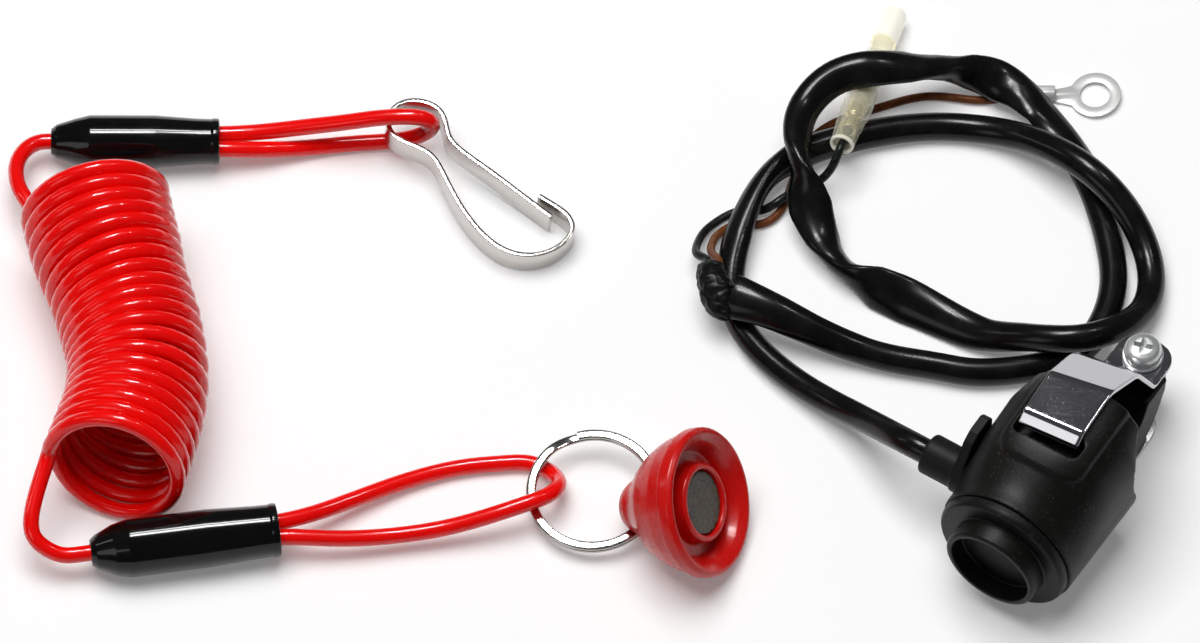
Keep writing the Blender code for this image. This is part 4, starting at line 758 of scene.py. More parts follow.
def roundCord(name, path, diameter, finish, nodes, swings=None, coil=0.0, sides=14):
    # the path's points, swung out where it coils, swept into a tube of one body
    mesh = bpy.data.meshes.new(name)
    mesh.from_pydata([tuple(p) for p in path], [(i, i + 1) for i in range(len(path) - 1)], [])
    swing = mesh.attributes.new("swing", "FLOAT_VECTOR", "POINT")
    swings = np.zeros((len(path), 3)) if swings is None else swings
    swing.data.foreach_set("vector", np.array(swings, np.float32).ravel())
    holder = bpy.data.objects.new(name, mesh)
    scene.collection.objects.link(holder)
    sweep = holder.modifiers.new("sweep", "NODES")
    sweep.node_group = cordTree
    values = {
        "Cord diameter": float(diameter), "Coil diameter": float(coil or diameter), "Sides": sides,
        "Finish": finish
    }
    for item in cordTree.interface.items_tree:
        if item.name in values:
            sweep[item.identifier] = values[item.name]
    bpy.context.view_layer.update()
    made = bpy.data.meshes.new_from_object(holder.evaluated_get(bpy.context.evaluated_depsgraph_get()))
    bpy.data.objects.remove(holder, do_unlink=True)
    return place(name, made, finish, nodes=nodes, angle=60.0)


def lengthOf(path):
    # metres along a path
    return float(np.linalg.norm(np.diff(np.array(path), axis=0), axis=1).sum())


# the tether is one cord: a lead, the curly length and a second lead
tetherLook = {
    "cordWidth": 3.8, "coilWidth": 32.9, "firstTurn": 215.0, "lastTurn": 7388.0, "pointsPerTurn": 30,
    "leanFar": 0.02, "leanNear": 0.24, "jitter": 0.30, "play": 0.015, "loopApart": 2.05,
}
bootPlaces = {
    "upper": {"spot": (-125.2, 44.7, 6.3), "heading": 0.0, "length": 38.4, "wide": 12.2, "mouth": 10.6},
    "lower": {"spot": (-114.8, -66.3, 6.9), "heading": 8.3, "length": 42.7, "wide": 13.4, "mouth": 12.4},
}
coilAxis = [
    (-115.0, 22.0, 16.5), (-112.5, 10.0, 16.5), (-107.5, -7.5, 16.5), (-104.7, -21.0, 16.5),
    (-105.0, -31.7, 16.5), (-107.2, -41.5, 16.5), (-110.0, -51.0, 16.5),
]


def bootPoint(which, ahead, aside=0.0):
    # a point on a boot's axis, in the layout's millimetres
    info = bootPlaces[which]
    way = Vector((math.cos(math.radians(info["heading"])), math.sin(math.radians(info["heading"])), 0.0))
    return tuple(Vector(info["spot"]) + way * ahead + Vector((-way.y, way.x, 0.0)) * aside)


def makeTether():
    # the axis of the curly length carries the centres, and each centre its swing
    info = tetherLook
    reach = (info["coilWidth"] - info["cordWidth"]) / 2
    axis, _ = smoothPath(coilAxis, 0.5)
    ways = tangents(axis)
    turns = np.arange(info["firstTurn"], info["lastTurn"], 360.0 / info["pointsPerTurn"])
    centres, swings = [], []
    for angle in turns:
        share = (angle - turns[0]) / (turns[-1] - turns[0])
        share = share + 0.006 * math.sin(share * 19.0) * math.sin(math.pi * share)
        at = share * (len(axis) - 1)
        low = min(int(at), len(axis) - 2)
        centre = Vector(axis[low]).lerp(Vector(axis[low + 1]), at - low)
        way = Vector(ways[low])
        side = way.cross(Vector((0.0, 0.0, 1.0))).normalized() * -1.0
        lean = info["leanFar"] + (info["leanNear"] - info["leanFar"]) * share**2
        up = Vector((0.0, 0.0, 1.0)) - way * lean
        turn = (angle - 180.0) / 360.0
        loose = noise.noise(Vector((turn * 0.9, 3.0, 7.0))) * info["jitter"] / reach
        wide = 1.0 + np.interp(
            share, (0.0, 0.20, 0.32, 0.6, 0.85, 1.0), (0.075, 0.06, 0.0, -0.01, 0.01, 0.03)
        )
        spoke = math.radians(angle)
        centre.z += reach * (wide - 1.0)
        centres.append(centre)
        swings.append((side * math.cos(spoke) + up * math.sin(spoke)) * (wide - abs(loose)))
    wound = [c + s * reach for c, s in zip(centres, swings)]
    upper = [bootPoint("upper", ahead) for ahead in (15.8, 8.0, 2.0, -1.8)]
    upper += [
        (-129.8, 43.4, 6.6), (-132.4, 39.6, 7.2), (-132.97, 34.0, 8.6), (-131.7, 28.6, 9.9),
        (-129.6, 24.6, 9.8)
    ]
    lower = [(-128.2, -61.6, 11.2), (-125.4, -65.6, 8.4), (-121.0, -67.0, 7.1)]
    lower += [bootPoint("lower", ahead) for ahead in (-2.0, 2.0, 9.0, 20.2)]
    headPath, _ = smoothPath(upper + [tuple(p) for p in wound[:4]], 1.2)
    tailPath, _ = smoothPath([tuple(p) for p in wound[-4:]] + lower, 1.2)
    headEnd = int(np.argmin(np.linalg.norm(headPath - np.array(wound[1]), axis=1)))
    tailStart = int(np.argmin(np.linalg.norm(tailPath - np.array(wound[-2]), axis=1)))
    head, tail = headPath[:headEnd], tailPath[tailStart + 1 :]
    path = [onTable(*p) for p in head] + [onTable(*c) for c in centres[1:-1]] + [onTable(*p) for p in tail]
    out = [Vector((0, 0, 0))] * len(head) + swings[1:-1] + [Vector((0, 0, 0))] * len(tail)
    line = [p + s * reach * mm for p, s in zip(path, out)]
    play = info["cordWidth"] * mm * info["play"]  # keeps neighbouring turns apart
    cord = roundCord(
        "tetherCord", path, info["cordWidth"] * mm - play, redCord,
        ("tether_coil", "tether_lead_upper", "tether_lead_lower"), [tuple(s) for s in out],
        info["coilWidth"] * mm - play,
    )
    print("tether cord", round(lengthOf(line), 3), "m")
    return cord, line


tetherCord, tetherLine = makeTether()


def makeLoop(name, which, route, starts, node):
    # a loop leaves its boot beside itself and comes back into it
    mouth, apart = bootPlaces[which]["length"], tetherLook["loopApart"]
    ends = [bootPoint(which, starts, apart), bootPoint(which, mouth, apart)]
    ends += list(route) + [bootPoint(which, mouth, -apart), bootPoint(which, starts, -apart)]
    path, _ = smoothPath(ends, 1.4)
    line = [onTable(*p) for p in path]
    print(name, round(lengthOf(line), 4), "m")
    return roundCord(name, line, tetherLook["cordWidth"] * mm, redCord, (node,)), line


upperLoop, upperLine = makeLoop(
    "upperLoop", "upper",
    [
        (-77.0, 47.0, 6.9), (-68.2, 47.2, 8.4), (-58.0, 47.0, 10.9), (-50.5, 46.9, 12.8),
        (-45.0, 46.8, 13.5), (-40.8, 46.6, 13.3), (-38.5, 46.5, 11.6), (-38.5, 46.6, 9.0),
        (-40.4, 47.0, 6.0), (-43.9, 47.4, 3.4), (-48.6, 47.5, 2.1), (-56.0, 47.0, 2.0), (-67.0, 45.4, 2.7),
        (-77.0, 43.4, 5.0),
    ],
    18.4, "tether_loop_upper",
)
lowerLoop, lowerLine = makeLoop(
    "lowerLoop", "lower",
    [
        (-61.4, -53.6, 5.4), (-45.5, -45.2, 2.8), (-31.8, -40.6, 2.1), (-22.7, -39.4, 2.0),
        (-16.2, -39.3, 2.0), (-12.0, -41.2, 2.1), (-9.6, -44.8, 3.7), (-9.6, -48.6, 6.2),
        (-12.0, -51.8, 8.0), (-16.4, -54.0, 8.3), (-24.0, -56.4, 7.4), (-34.1, -58.6, 5.6),
        (-45.5, -60.4, 5.0), (-59.0, -61.8, 5.8),
    ],
    22.7, "tether_loop_lower",
)

# the cable's soft sleeve, which flattens and twists over its two wires
sleeveRoute = [
    fromSwitch(-25.1, 18.7, 18.6), fromSwitch(-32.8, 18.7, 18.5),
    (59.0, -31.8, 9.4), (46.6, -20.4, 4.2), (36.0, -9.6, 3.2), (30.6, 1.0, 3.2), (30.2, 15.0, 4.4),
    (36.8, 33.4, 5.6), (43.5, 40.2, 5.6), (51.5, 45.2, 4.3), (70.5, 50.4, 3.2), (84.0, 50.4, 3.3),
    (94.5, 47.2, 5.4), (104.0, 40.4, 9.4), (113.5, 32.0, 10.6), (121.6, 22.6, 6.4), (125.3, 11.0, 3.6),
    (123.6, 0.6, 4.8), (117.6, -7.4, 9.0), (108.5, -11.3, 10.6), (98.5, -10.0, 8.8), (91.0, -7.4, 5.4),
    (84.0, -4.4, 3.4), (69.3, 3.6, 3.2), (56.6, 10.3, 3.7), (48.4, 24.6, 7.0), (45.9, 34.0, 11.0),
    (45.0, 42.5, 12.0), (46.8, 50.6, 11.8), (53.4, 57.0, 13.8), (62.5, 58.8, 15.2), (72.0, 60.9, 12.6),
    (81.0, 63.4, 7.8), (91.0, 61.6, 5.9), (97.2, 57.4, 5.6), (102.7, 51.6, 4.2), (110.8, 38.4, 3.2),
    (115.4, 22.0, 3.2), (116.6, 7.0, 3.2), (112.3, -5.7, 3.2), (104.0, -12.6, 3.2), (86.0, -15.7, 3.2),
    (77.0, -14.2, 3.2), (66.0, -12.0, 3.3), (57.0, -9.6, 4.6), (48.0, -6.8, 7.2), (38.5, -3.2, 9.8),
    (30.0, 0.3, 10.2),
]
sleeveLookAcross = {"sides": 28, "step": 1.3, "resting": 3.05, "restsBelow": 7.5, "restsOver": 3.5}
sleeveLookAlong = {
    # route point: (half width, half height, degrees of twist seen from the camera)
    0.0: (2.95, 2.95, 0.0), 5.0: (3.05, 3.0, 0.0), 6.2: (3.4, 2.6, 30.0), 7.2: (3.2, 2.7, 100.0),
    8.2: (3.4, 2.7, 175.0), 10.0: (3.2, 3.0, 180.0), 20.0: (3.15, 3.0, 180.0), 21.4: (3.5, 2.7, 178.0),
    22.3: (4.1, 2.3, 180.0), 23.0: (4.7, 1.9, 184.0), 23.5: (4.6, 1.95, 200.0), 23.9: (3.8, 2.3, 240.0),
    24.25: (3.2, 2.6, 285.0), 24.6: (3.8, 2.3, 335.0), 25.1: (4.5, 1.9, 362.0), 25.6: (4.2, 2.1, 385.0),
    26.1: (3.3, 2.6, 440.0), 26.8: (3.5, 2.6, 500.0), 28.0: (3.6, 2.6, 535.0), 29.8: (3.9, 2.3, 545.0),
    30.8: (3.7, 2.3, 570.0), 31.6: (3.8, 3.05, 630.0), 32.3: (4.1, 2.5, 690.0), 33.0: (4.3, 2.0, 722.0),
    33.8: (3.9, 2.4, 740.0), 34.6: (4.1, 2.1, 765.0), 35.6: (3.6, 2.5, 750.0), 37.0: (3.2, 2.95, 730.0),
    43.5: (3.15, 2.95, 720.0), 45.0: (3.5, 2.8, 715.0), 46.2: (4.1, 2.5, 712.0), 47.0: (4.7, 2.3, 712.0),
}


def makeSleeve():
    # rings seen from the camera's side, lowered until they rest on the table
    info = sleeveLookAcross
    path, marks = smoothPath(sleeveRoute, info["step"])
    ways = tangents(path)
    keys = np.array(sorted(sleeveLookAlong))
    table = np.array([sleeveLookAlong[k] for k in keys])
    rise = math.radians(viewLook["elevation"])
    eye = np.array((0.0, -math.cos(rise), math.sin(rise)))
    spokes = np.linspace(0.0, 2.0 * math.pi, info["sides"], endpoint=False)
    rings, line = [], []
    for centre, way, mark in zip(path, ways, marks):
        wide, high, twist = (np.interp(mark, keys, table[:, k]) for k in range(3))
        side = np.cross(way, eye)
        side = side / np.linalg.norm(side)
        up = np.cross(side, way)
        angle = math.radians(twist)
        a = side * math.cos(angle) + up * math.sin(angle)
        b = up * math.cos(angle) - side * math.sin(angle)
        flat = 1.0 - high / wide
        corners = np.cos(2.0 * spokes) ** 2 * np.abs(np.cos(spokes))
        bulge = 1.0 + 0.22 * flat * corners - 0.10 * flat * np.sin(spokes) ** 8
        ring = np.outer(np.cos(spokes) * bulge * wide, a) + np.outer(np.sin(spokes) * bulge * high, b)
        rest = info["resting"] + ring[:, 2].min()
        settled = min(1.0, max(0.0, (info["restsBelow"] - centre[2]) / info["restsOver"]))
        low = centre - np.array((0.0, 0.0, rest * settled))
        line.append(onTable(*low))
        rings.append([tuple(onTable(*(low + p))) for p in ring])
    # the cut end shows its wall
    last, way = np.array(rings[-1]), ways[-1] * mm
    middle = last.mean(axis=0)
    for shrink, back in ((0.985, -0.12), (0.93, -0.16), (0.86, 0.0), (0.84, 1.2), (0.82, 5.0)):
        rings.append(((last - middle) * shrink + middle - way * back).tolist())
    sleeve = place(
        "cableSleeve", skin(
            "cableSleeve", rings
        ), sleeveVinyl, nodes=("cable_sleeve",), angle=50.0
    )
    print("cable sleeve", round(lengthOf(line), 4), "m")
    return sleeve, line


cableSleeve, sleeveLine = makeSleeve()

# binding tape, crumpled round the sleeve's end
tapeLookAlong = {"folds": 0.55, "layers": 0.28, "step": 0.35, "sides": 72}


def makeTape():
    # noise folds and creases it, and its layers step up once a turn
    route = [
        (30.6, -2.6, 8.2), (28.6, -2.0, 8.6), (26.9, 0.4, 9.3), (26.0, 3.6, 9.9), (25.3, 6.6, 9.9),
        (25.5, 9.4, 9.3)
    ]
    path, _ = smoothPath(route, tapeLookAlong["step"])
    ways = tangents(path)
    sides = tapeLookAlong["sides"]
    rings = []
    for centre, way, share in zip(path, ways, np.linspace(0.0, 1.0, len(path))):
        side = np.cross(way, (0.0, 0.0, 1.0))
        side = side / np.linalg.norm(side)
        up = np.cross(side, way)
        width = np.interp(
            share, (0.0, 0.06, 0.2, 0.45, 0.62, 0.8, 0.93, 1.0), (0.6, 2.4, 3.6, 4.1, 3.9, 3.4, 3.0, 1.6)
        )
        ring = []
        for k in range(sides):
            spoke = 2.0 * math.pi * k / sides
            wrap = (share * 5.0 + k / sides) % 1.0
            fold = noise.noise(Vector((math.cos(spoke) * 1.4, math.sin(spoke) * 1.4, share * 5.0 + 2.0)))
            crease = abs(noise.noise(Vector((math.cos(spoke) * 2.6, math.sin(spoke) * 2.6, share * 9.0))))
            layers = wrap * tapeLookAlong["layers"]
            radius = width * (1.0 + 0.14 * fold) - crease * tapeLookAlong["folds"] + layers
            flat = side * math.cos(spoke) * radius + up * math.sin(spoke) * radius * 0.86
            ring.append(tuple(onTable(*(centre + flat))))
        rings.append(ring)
    return place(
        "bindingTape", skin("bindingTape", rings), tapeVinyl, nodes=("tape_wrap",), angle=55.0
    )


bindingTape = makeTape()

# the two wires leave the tape side by side
wireLookAcross = {"width": 2.0, "apart": 1.3, "ahead": 2.6}
tapeOut, tapeWay = Vector((25.5, 9.2, 9.4)), Vector((0.12, 0.95, -0.28)).normalized()
tapeSide = tapeWay.cross(Vector((0.0, 0.0, 1.0))).normalized()
bulletPlace = {"spot": Vector((55.0, 40.2, 11.6)), "heading": 73.0, "dip": 10.9, "length": 43.85}
bulletFrame = standAt(bulletPlace["spot"], (-bulletPlace["dip"], 0.0, bulletPlace["heading"] - 90.0))
bulletWay = (bulletFrame.to_3x3() @ Vector((0.0, 1.0, 0.0))).normalized()


def makeWires():
    start, info = tapeOut - tapeWay, wireLookAcross
    aside, ahead = tapeSide * info["apart"], tapeWay * info["ahead"]
    black = [start - aside, start - aside + ahead]
    black += [
        (22.2, 13.6, 7.0), (22.3, 18.6, 4.2), (24.1, 23.2, 2.2), (26.6, 26.2, 1.2), (29.4, 28.2, 1.1),
        (33.0, 29.4, 1.1), (36.0, 29.0, 1.4), (39.8, 29.6, 3.4), (42.4, 31.6, 3.6), (46.2, 33.6, 3.4),
        (50.6, 35.0, 5.6), (53.3, 36.6, 9.6),
    ]
    black += [bulletPlace["spot"] + bulletWay * inside for inside in (-1.5, 3.0, 8.5)]
    brown = [start + aside, start + aside + ahead]
    brown += [
        (25.4, 14.6, 6.2), (25.8, 19.6, 3.4), (27.4, 23.0, 1.5), (30.6, 25.2, 1.1), (34.8, 25.3, 1.1),
        (39.0, 26.8, 1.1), (42.0, 31.0, 1.1), (43.6, 36.0, 1.1), (45.6, 42.4, 1.1), (48.9, 49.4, 1.1),
        (55.6, 54.2, 1.1), (64.1, 57.4, 1.1), (75.0, 60.4, 1.1), (86.0, 59.4, 1.1), (92.4, 60.0, 1.2),
        (97.6, 60.8, 2.05), (102.6, 60.8, 2.15),
    ]
    made = []
    for name, route, finish, slot, node in (
        ("blackWire", black, wireVinyl, "black_vinyl", "black_wire"),
        ("brownWire", brown, brownVinyl, "brown_insulation", "brown_wire"),
    ):
        path, _ = smoothPath(route, 1.0)
        line = [onTable(*p) for p in path]
        print(name, round(lengthOf(line), 4), "m")
        made.append((roundCord(name, line, info["width"] * mm, finish, (node,), sides=12), line))
    return made


(blackWire, blackLine), (brownWire, brownLine) = makeWires()

bulletLook = {"mouth": 2.8, "neck": 3.1, "bulge": 3.45, "tip": 2.98, "milkFrom": 34.3, "wall": 0.6}


def makeBulletSleeve():
    # a clear sleeve with a grip ring, milky from where the receptacle ends
    info, length = bulletLook, bulletPlace["length"]
    outer = [
        (0.0, info["mouth"] - 0.1, 0.0), (0.15, info["mouth"], 0.1), (0.7, info["mouth"] + 0.02),
        (0.9, info["mouth"] + 0.03), (6.1, info["neck"], 0.2), (6.25, info["neck"] + 0.14, 0.1),
        (10.5, info["bulge"] - 0.1, 0.2), (10.6, info["bulge"] + 0.1, 0.1), (14.6, info["bulge"] + 0.1, 0.1),
        (14.8, info["bulge"] - 0.1, 0.1), (18.2, info["bulge"], 2.0), (23.0, info["tip"], 3.0),
        (info["milkFrom"] - 0.2, info["tip"]), (info["milkFrom"] + 0.2, info["tip"] + 0.02),
        (length - 0.2, info["tip"], 0.2), (length, info["tip"] - 0.2, 0.1),
        (length, info["tip"] - info["wall"], 0.1),
    ]
    inner = [
        (info["milkFrom"] + 0.2, info["tip"] - info["wall"]),
        (info["milkFrom"] - 0.2, info["tip"] - info["wall"]),
        (27.0, 2.3, 1.0), (15.4, 2.6, 1.0), (8.6, 2.4, 0.5), (5.4, 2.25, 0.2), (0.9, 2.22), (0.7, 2.21),
        (0.1, 2.2, 0.1), (0.0, 2.3, 0.0)
    ]
    mesh = turned("bulletSleeve", roundedLine(outer + inner, 4), 40)
    for vert in mesh.vertices:
        x, y, z = vert.co
        dent = noise.noise(Vector((x * 0.35, y * 0.16, z * 0.35))) * 0.14 * min(1.0, y / 8.0)
        vert.co.x += dent * x / 3.0
        vert.co.z += dent * z / 3.0
    milk = mesh.attributes.new("milk", "FLOAT", "POINT")
    level = [
        (0.0, 0.75), (0.7, 0.5), (0.9, 0.0), (10.4, 0.0), (11.0, 0.16), (20.0, 0.14), (24.0, 0.05),
        (info["milkFrom"] - 0.2, 0.05), (info["milkFrom"] + 0.2, 1.0)
    ]
    ends, levels = zip(*level)
    milk.data.foreach_set("value", [float(np.interp(vert.co.y, ends, levels)) for vert in mesh.vertices])
    return place(
        "bulletSleeve", mesh, clearVinyl, local=bulletFrame, nodes=("bullet_sleeve",)
    )


bulletSleeve = makeBulletSleeve()


def makeReceptacle():
    # a rolled brass barrel with its crimped wings
    outer = [
        (5.0, 1.30, 0.0), (5.0, 1.85, 0.15), (7.4, 1.95, 0.3), (8.0, 1.55, 0.3), (9.2, 1.55, 0.3),
        (9.8, 1.95, 0.3)
    ]
    outer += [
        (12.0, 1.9, 0.3), (13.4, 1.98, 0.3), (27.0, 1.98, 0.2), (27.0, 1.55, 0.1), (13.6, 1.55, 0.3),
        (12.2, 1.30, 0.2)
    ]
    outer += [(5.0, 1.30, 0.0)]
    mesh = turned("bulletReceptacle", roundedLine(outer, 4)[:-1], 48)
    return place("bulletReceptacle", mesh, brass, local=bulletFrame, nodes=("bullet_receptacle",))


bulletReceptacle = makeReceptacle()

terminalLook = {
    "spot": (113.3, 60.8, 0.05), "ringR": 5.95, "hole": 3.45, "thick": 0.8, "neck": 2.7, "barrelR": 1.8,
    "reach": 13.9, "bend": 4.0
}


def makeTerminal():
    # a stamped ring with a tapering neck and a rolled barrel crimped on the wire
    info = terminalLook
    turns = [math.radians(turn) for turn in np.linspace(-153.0, 153.0, 44)]
    outline = [(info["ringR"] * math.cos(a), info["ringR"] * math.sin(a)) for a in turns]
    outline += [
        (-6.2, info["neck"] - 0.3), (-7.4, info["neck"] - 0.6), (-10.0, 1.6), (-10.0, -1.6),
        (-7.4, -info["neck"] + 0.6), (-6.2, -info["neck"] + 0.3)
    ]
    mesh = prism("ringTerminal", outline, 0.0, info["thick"])
    mesh = cutAway(mesh, prism("terminalHole", circle(0.0, 0.0, info["hole"], 48), -1.0, 2.0))
    r = info["barrelR"]
    line = [
        (-info["reach"], 1.15), (-info["reach"], r, 0.25), (-9.2, r, 0.3), (-9.2, 1.15),
        (-info["reach"], 1.15)
    ]
    barrel = turned(
        "terminalBarrel", roundedLine([(y, radius, *more) for y, radius, *more in line], 4)[:-1], 32
    )
    for vert in barrel.vertices:
        x, y, z = vert.co
        if z > 0.2 and abs(x) < 0.9:
            vert.co.z -= (0.9 - abs(x)) * 0.22  # the rolled edges meet in a groove
    bendAt = Matrix.Translation((-6.5, 0.0, 0.0))
    spin = bendAt @ Matrix.Rotation(math.radians(-info["bend"]), 4, "Y") @ bendAt.inverted()
    for vert in mesh.vertices:
        if vert.co.x > -6.5:
            vert.co = spin @ vert.co  # the ring leans up from its neck
    barrel.transform(Matrix.Translation((0.0, 0.0, r + 0.02)) @ Matrix.Rotation(math.radians(-90.0), 4, "Z"))
    settle(barrel, 30.0)
    mesh = cutAway(mesh, barrel, "UNION")
    mesh = bevelled(mesh, 0.10)
    return place(
        "ringTerminal", mesh, tinned, local=standAt(info["spot"]), nodes=("ring_terminal",),
        angle=35.0
    )


ringTerminal = makeTerminal()

# dipped vinyl boots over the crimped cord ends
bootShape = {"wobble": 0.030, "sides": 64, "bore": 4.25}


def makeBoot(which):
    # a tapered boot that dips where it grips the crimp, with a rolled mouth
    info = bootPlaces[which]
    length, wide, mouth, bore = info["length"], info["wide"] / 2, info["mouth"] / 2, bootShape["bore"]
    line = [
        (0.0, 2.25, 0.0), (0.0, 2.9, 0.3), (1.2, 3.9, 0.8), (5.2, wide - 0.9, 2.5), (8.8, wide, 3.0),
        (length * 0.62, wide * 0.985, 8.0), (length - 5.0, mouth, 4.0), (length - 1.9, mouth * 0.985, 0.6),
        (length - 1.3, mouth * 1.015, 0.4), (length, mouth, 0.35), (length, bore + 0.3, 0.15),
        (length - 3.0, bore, 0.5), (length - 9.6, bore, 0.2), (length - 9.6, 4.95, 0.1),
        (length - 22.4, 4.95, 0.1), (length - 22.4, 2.25, 0.1), (0.0, 2.25, 0.0),
    ]
    mesh = turned(which + "Boot", roundedLine(line, 6)[:-1], bootShape["sides"])
    seed = 5.0 if which == "upper" else 11.0
    for vert in mesh.vertices:
        x, y, z = vert.co
        radius = math.hypot(x, z)
        if radius < bore + 0.35 and y > length - 23.0 or radius < 3.0:
            continue
        angle = math.atan2(z, x)
        slow = noise.noise(Vector((math.cos(angle) * 0.8, y * 0.085 + seed, math.sin(angle) * 0.8)))
        grip = 0.5 - 0.5 * math.cos(min(1.0, y / length) * 4.0 * math.pi)
        factor = 1.0 + bootShape["wobble"] * slow * min(1.0, y / 6.0) - 0.012 * grip
        flat = 1.0 - 0.05 * max(0.0, (y - length * 0.6) / length)
        vert.co.x = x * factor
        vert.co.z = z * factor * flat
    local = standAt(info["spot"], (0.0, 0.0, info["heading"] - 90.0))
    return place(
        which + "Boot", mesh, bootVinyl, local=local, nodes=(which + "_boot",), angle=45.0
    )


upperBoot, lowerBoot = makeBoot("upper"), makeBoot("lower")

print("cords made")


def stripRings(path, ways, wide, thick, rounding, up=Vector((0.0, 0.0, 1.0))):
    # a rounded flat section whose width stands along up
    corner = []
    for cx, cy, first in ((1, 1, 0), (-1, 1, 90), (-1, -1, 180), (1, -1, 270)):
        for a in (0, 30, 60, 90):
            turn = math.radians(first + a)
            x = cx * (thick / 2 - rounding) + rounding * math.cos(turn)
            y = cy * (wide / 2 - rounding) + rounding * math.sin(turn)
            corner.append((x, y))
    rings = []
    for centre, way in zip(path, ways):
        side = Vector(way).cross(up).normalized()
        rings.append([tuple(Vector(centre) + side * x + up * y) for x, y in corner])
    return rings


hookLook = {
    "width": 6.5, "thickness": 1.15, "rounding": 0.22, "tilt": -4.9, "heading": 134.1,
    "spot": (-11.0, 15.0, 0.0)
}
hookRoute = [
    (7.2, -6.2), (16.5, -5.1), (26.0, -4.0), (35.4, -3.0), (38.6, -3.9), (41.0, -5.4), (43.6, -6.5),
    (46.2, -6.4), (48.6, -5.2), (50.6, -3.2), (51.6, -0.6), (51.4, 1.9), (50.0, 4.2), (47.6, 5.5),
    (44.8, 5.4), (41.2, 4.0), (37.8, 3.0), (34.6, 3.3), (31.5, 4.3), (27.3, 5.8), (22.3, 7.3), (16.8, 8.3),
    (11.6, 8.4), (6.9, 7.2), (2.9, 4.1), (0.6, -0.6), (0.5, -4.9), (1.9, -7.9), (4.6, -9.2), (7.9, -9.0),
    (12.8, -7.9),
]


def makeHook():
    # one flat strip bent round, standing on its edge
    path, _ = smoothPath([(x, y, 0.0) for x, y in hookRoute], 0.6)
    rings = stripRings(path, tangents(path), hookLook["width"], hookLook["thickness"], hookLook["rounding"])
    local = standAt(
        hookLook["spot"], (0.0, hookLook["tilt"], hookLook["heading"]), (0.0, 0.0, hookLook["width"] / 2)
    )
    return place(
        "snapHook", skin("snapHook", rings), nickel, local=local, nodes=("snap_hook",), angle=50.0
    )


snapHook = makeHook()
ringLook = {
    "radius": 14.1, "wide": 2.15, "thick": 0.92, "rounding": 0.34, "pitch": 1.02, "spot": (-1.5, -49.0, 5.5)
}


def makeSplitRing():
    # almost two turns of strip, with the step from one to the other
    path = []
    for degrees in np.linspace(0.0, 682.0, 300):
        t = min(1.0, max(0.0, (degrees - 325.0) / 27.0))
        angle = math.radians(142.0 + degrees)
        lift = ringLook["pitch"] * (t * t * (3 - 2 * t) - 0.5)
        path.append((ringLook["radius"] * math.cos(angle), ringLook["radius"] * math.sin(angle), lift))
    path = np.array(path)
    rings = stripRings(path, tangents(path), ringLook["thick"], ringLook["wide"], ringLook["rounding"])
    local = standAt(ringLook["spot"], (6.0, -3.0, 0.0))
    mesh = skin("splitRingWire", rings)
    return place(
        "splitRingWire", mesh, ringNickel, "split_ring", local, ("split_ring",), angle=50.0
    )


splitRing = makeSplitRing()
print("hook and ring made")

capShape = {
    "spot": (5.4, -53.7, 5.8), "rise": 29.5, "heading": -106.0, "lugHole": 2.3, "lugAt": (4.6, -2.7),
    "lugTurn": -12.0
}
capFrame = standAt(capShape["spot"], (capShape["rise"], 0.0, capShape["heading"]))


def makeCap():
    # a flared cap with a collar round the magnet and a drilled lug behind
    outside = [
        (0.0, 0.0, 0.0), (0.0, 1.7, 1.2), (0.8, 3.4, 1.5), (1.9, 4.95, 1.5), (3.5, 6.1, 2.0),
        (5.1, 6.75, 1.0), (6.1, 7.5, 1.0), (7.8, 9.8, 3.0), (10.6, 12.4, 5.0), (13.4, 14.1, 5.0),
        (16.2, 15.4, 4.0), (19.4, 16.3, 0.5), (19.75, 16.9, 0.35), (20.6, 17.0, 1.0), (22.4, 17.0, 0.9),
        (23.3, 16.3, 0.5), (23.3, 15.5, 0.5),
    ]
    inside = [
        (21.9, 13.9, 1.0), (19.5, 12.6, 1.0), (17.9, 12.0, 0.7), (17.9, 9.0, 0.7), (21.6, 9.0, 0.5),
        (22.1, 8.5, 0.4), (22.1, 7.75, 0.3), (21.7, 7.5, 0.2), (16.0, 7.5, 0.1), (16.0, 0.0, 0.0),
    ]
    mesh = turned("magnetCap", roundedLine(outside + inside, 5), 128)
    hole = turned(
        "lugHole", [(-20.0, 0.0), (-20.0, capShape["lugHole"]), (20.0, capShape["lugHole"]), (20.0, 0.0)], 40
    )
    across = Matrix.Translation((0.0, capShape["lugAt"][0], capShape["lugAt"][1]))
    across = across @ Matrix.Rotation(math.radians(capShape["lugTurn"] - 90.0), 4, "Z")
    for shape in (mesh, hole):
        settle(shape, 30.0)
    hole.transform(across)
    mesh = cutAway(mesh, hole)
    return place("magnetCap", mesh, redCap, local=capFrame, nodes=("magnet_cap",), angle=32.0)


magnetCap = makeCap()


magnetLook = {"back": 16.3, "front": 21.3, "radius": 7.2, "hollow": 0.06}


def makeMagnet():
    # a round magnet whose face is ground a little hollow
    back, front, radius, hollow = (magnetLook[k] for k in ("back", "front", "radius", "hollow"))
    face = [
        (back, 0.0, 0.0), (back, radius, 0.3), (front, radius, 0.35), (front, radius - 1.0, 0.1),
        (front - hollow, 0.0, 0.0)
    ]
    mesh = turned("capMagnet", roundedLine(face, 4), 96)
    return place("capMagnet", mesh, magnetDark, local=capFrame, nodes=("cap_magnet",), angle=35.0)


capMagnet = makeMagnet()
print("cap made")

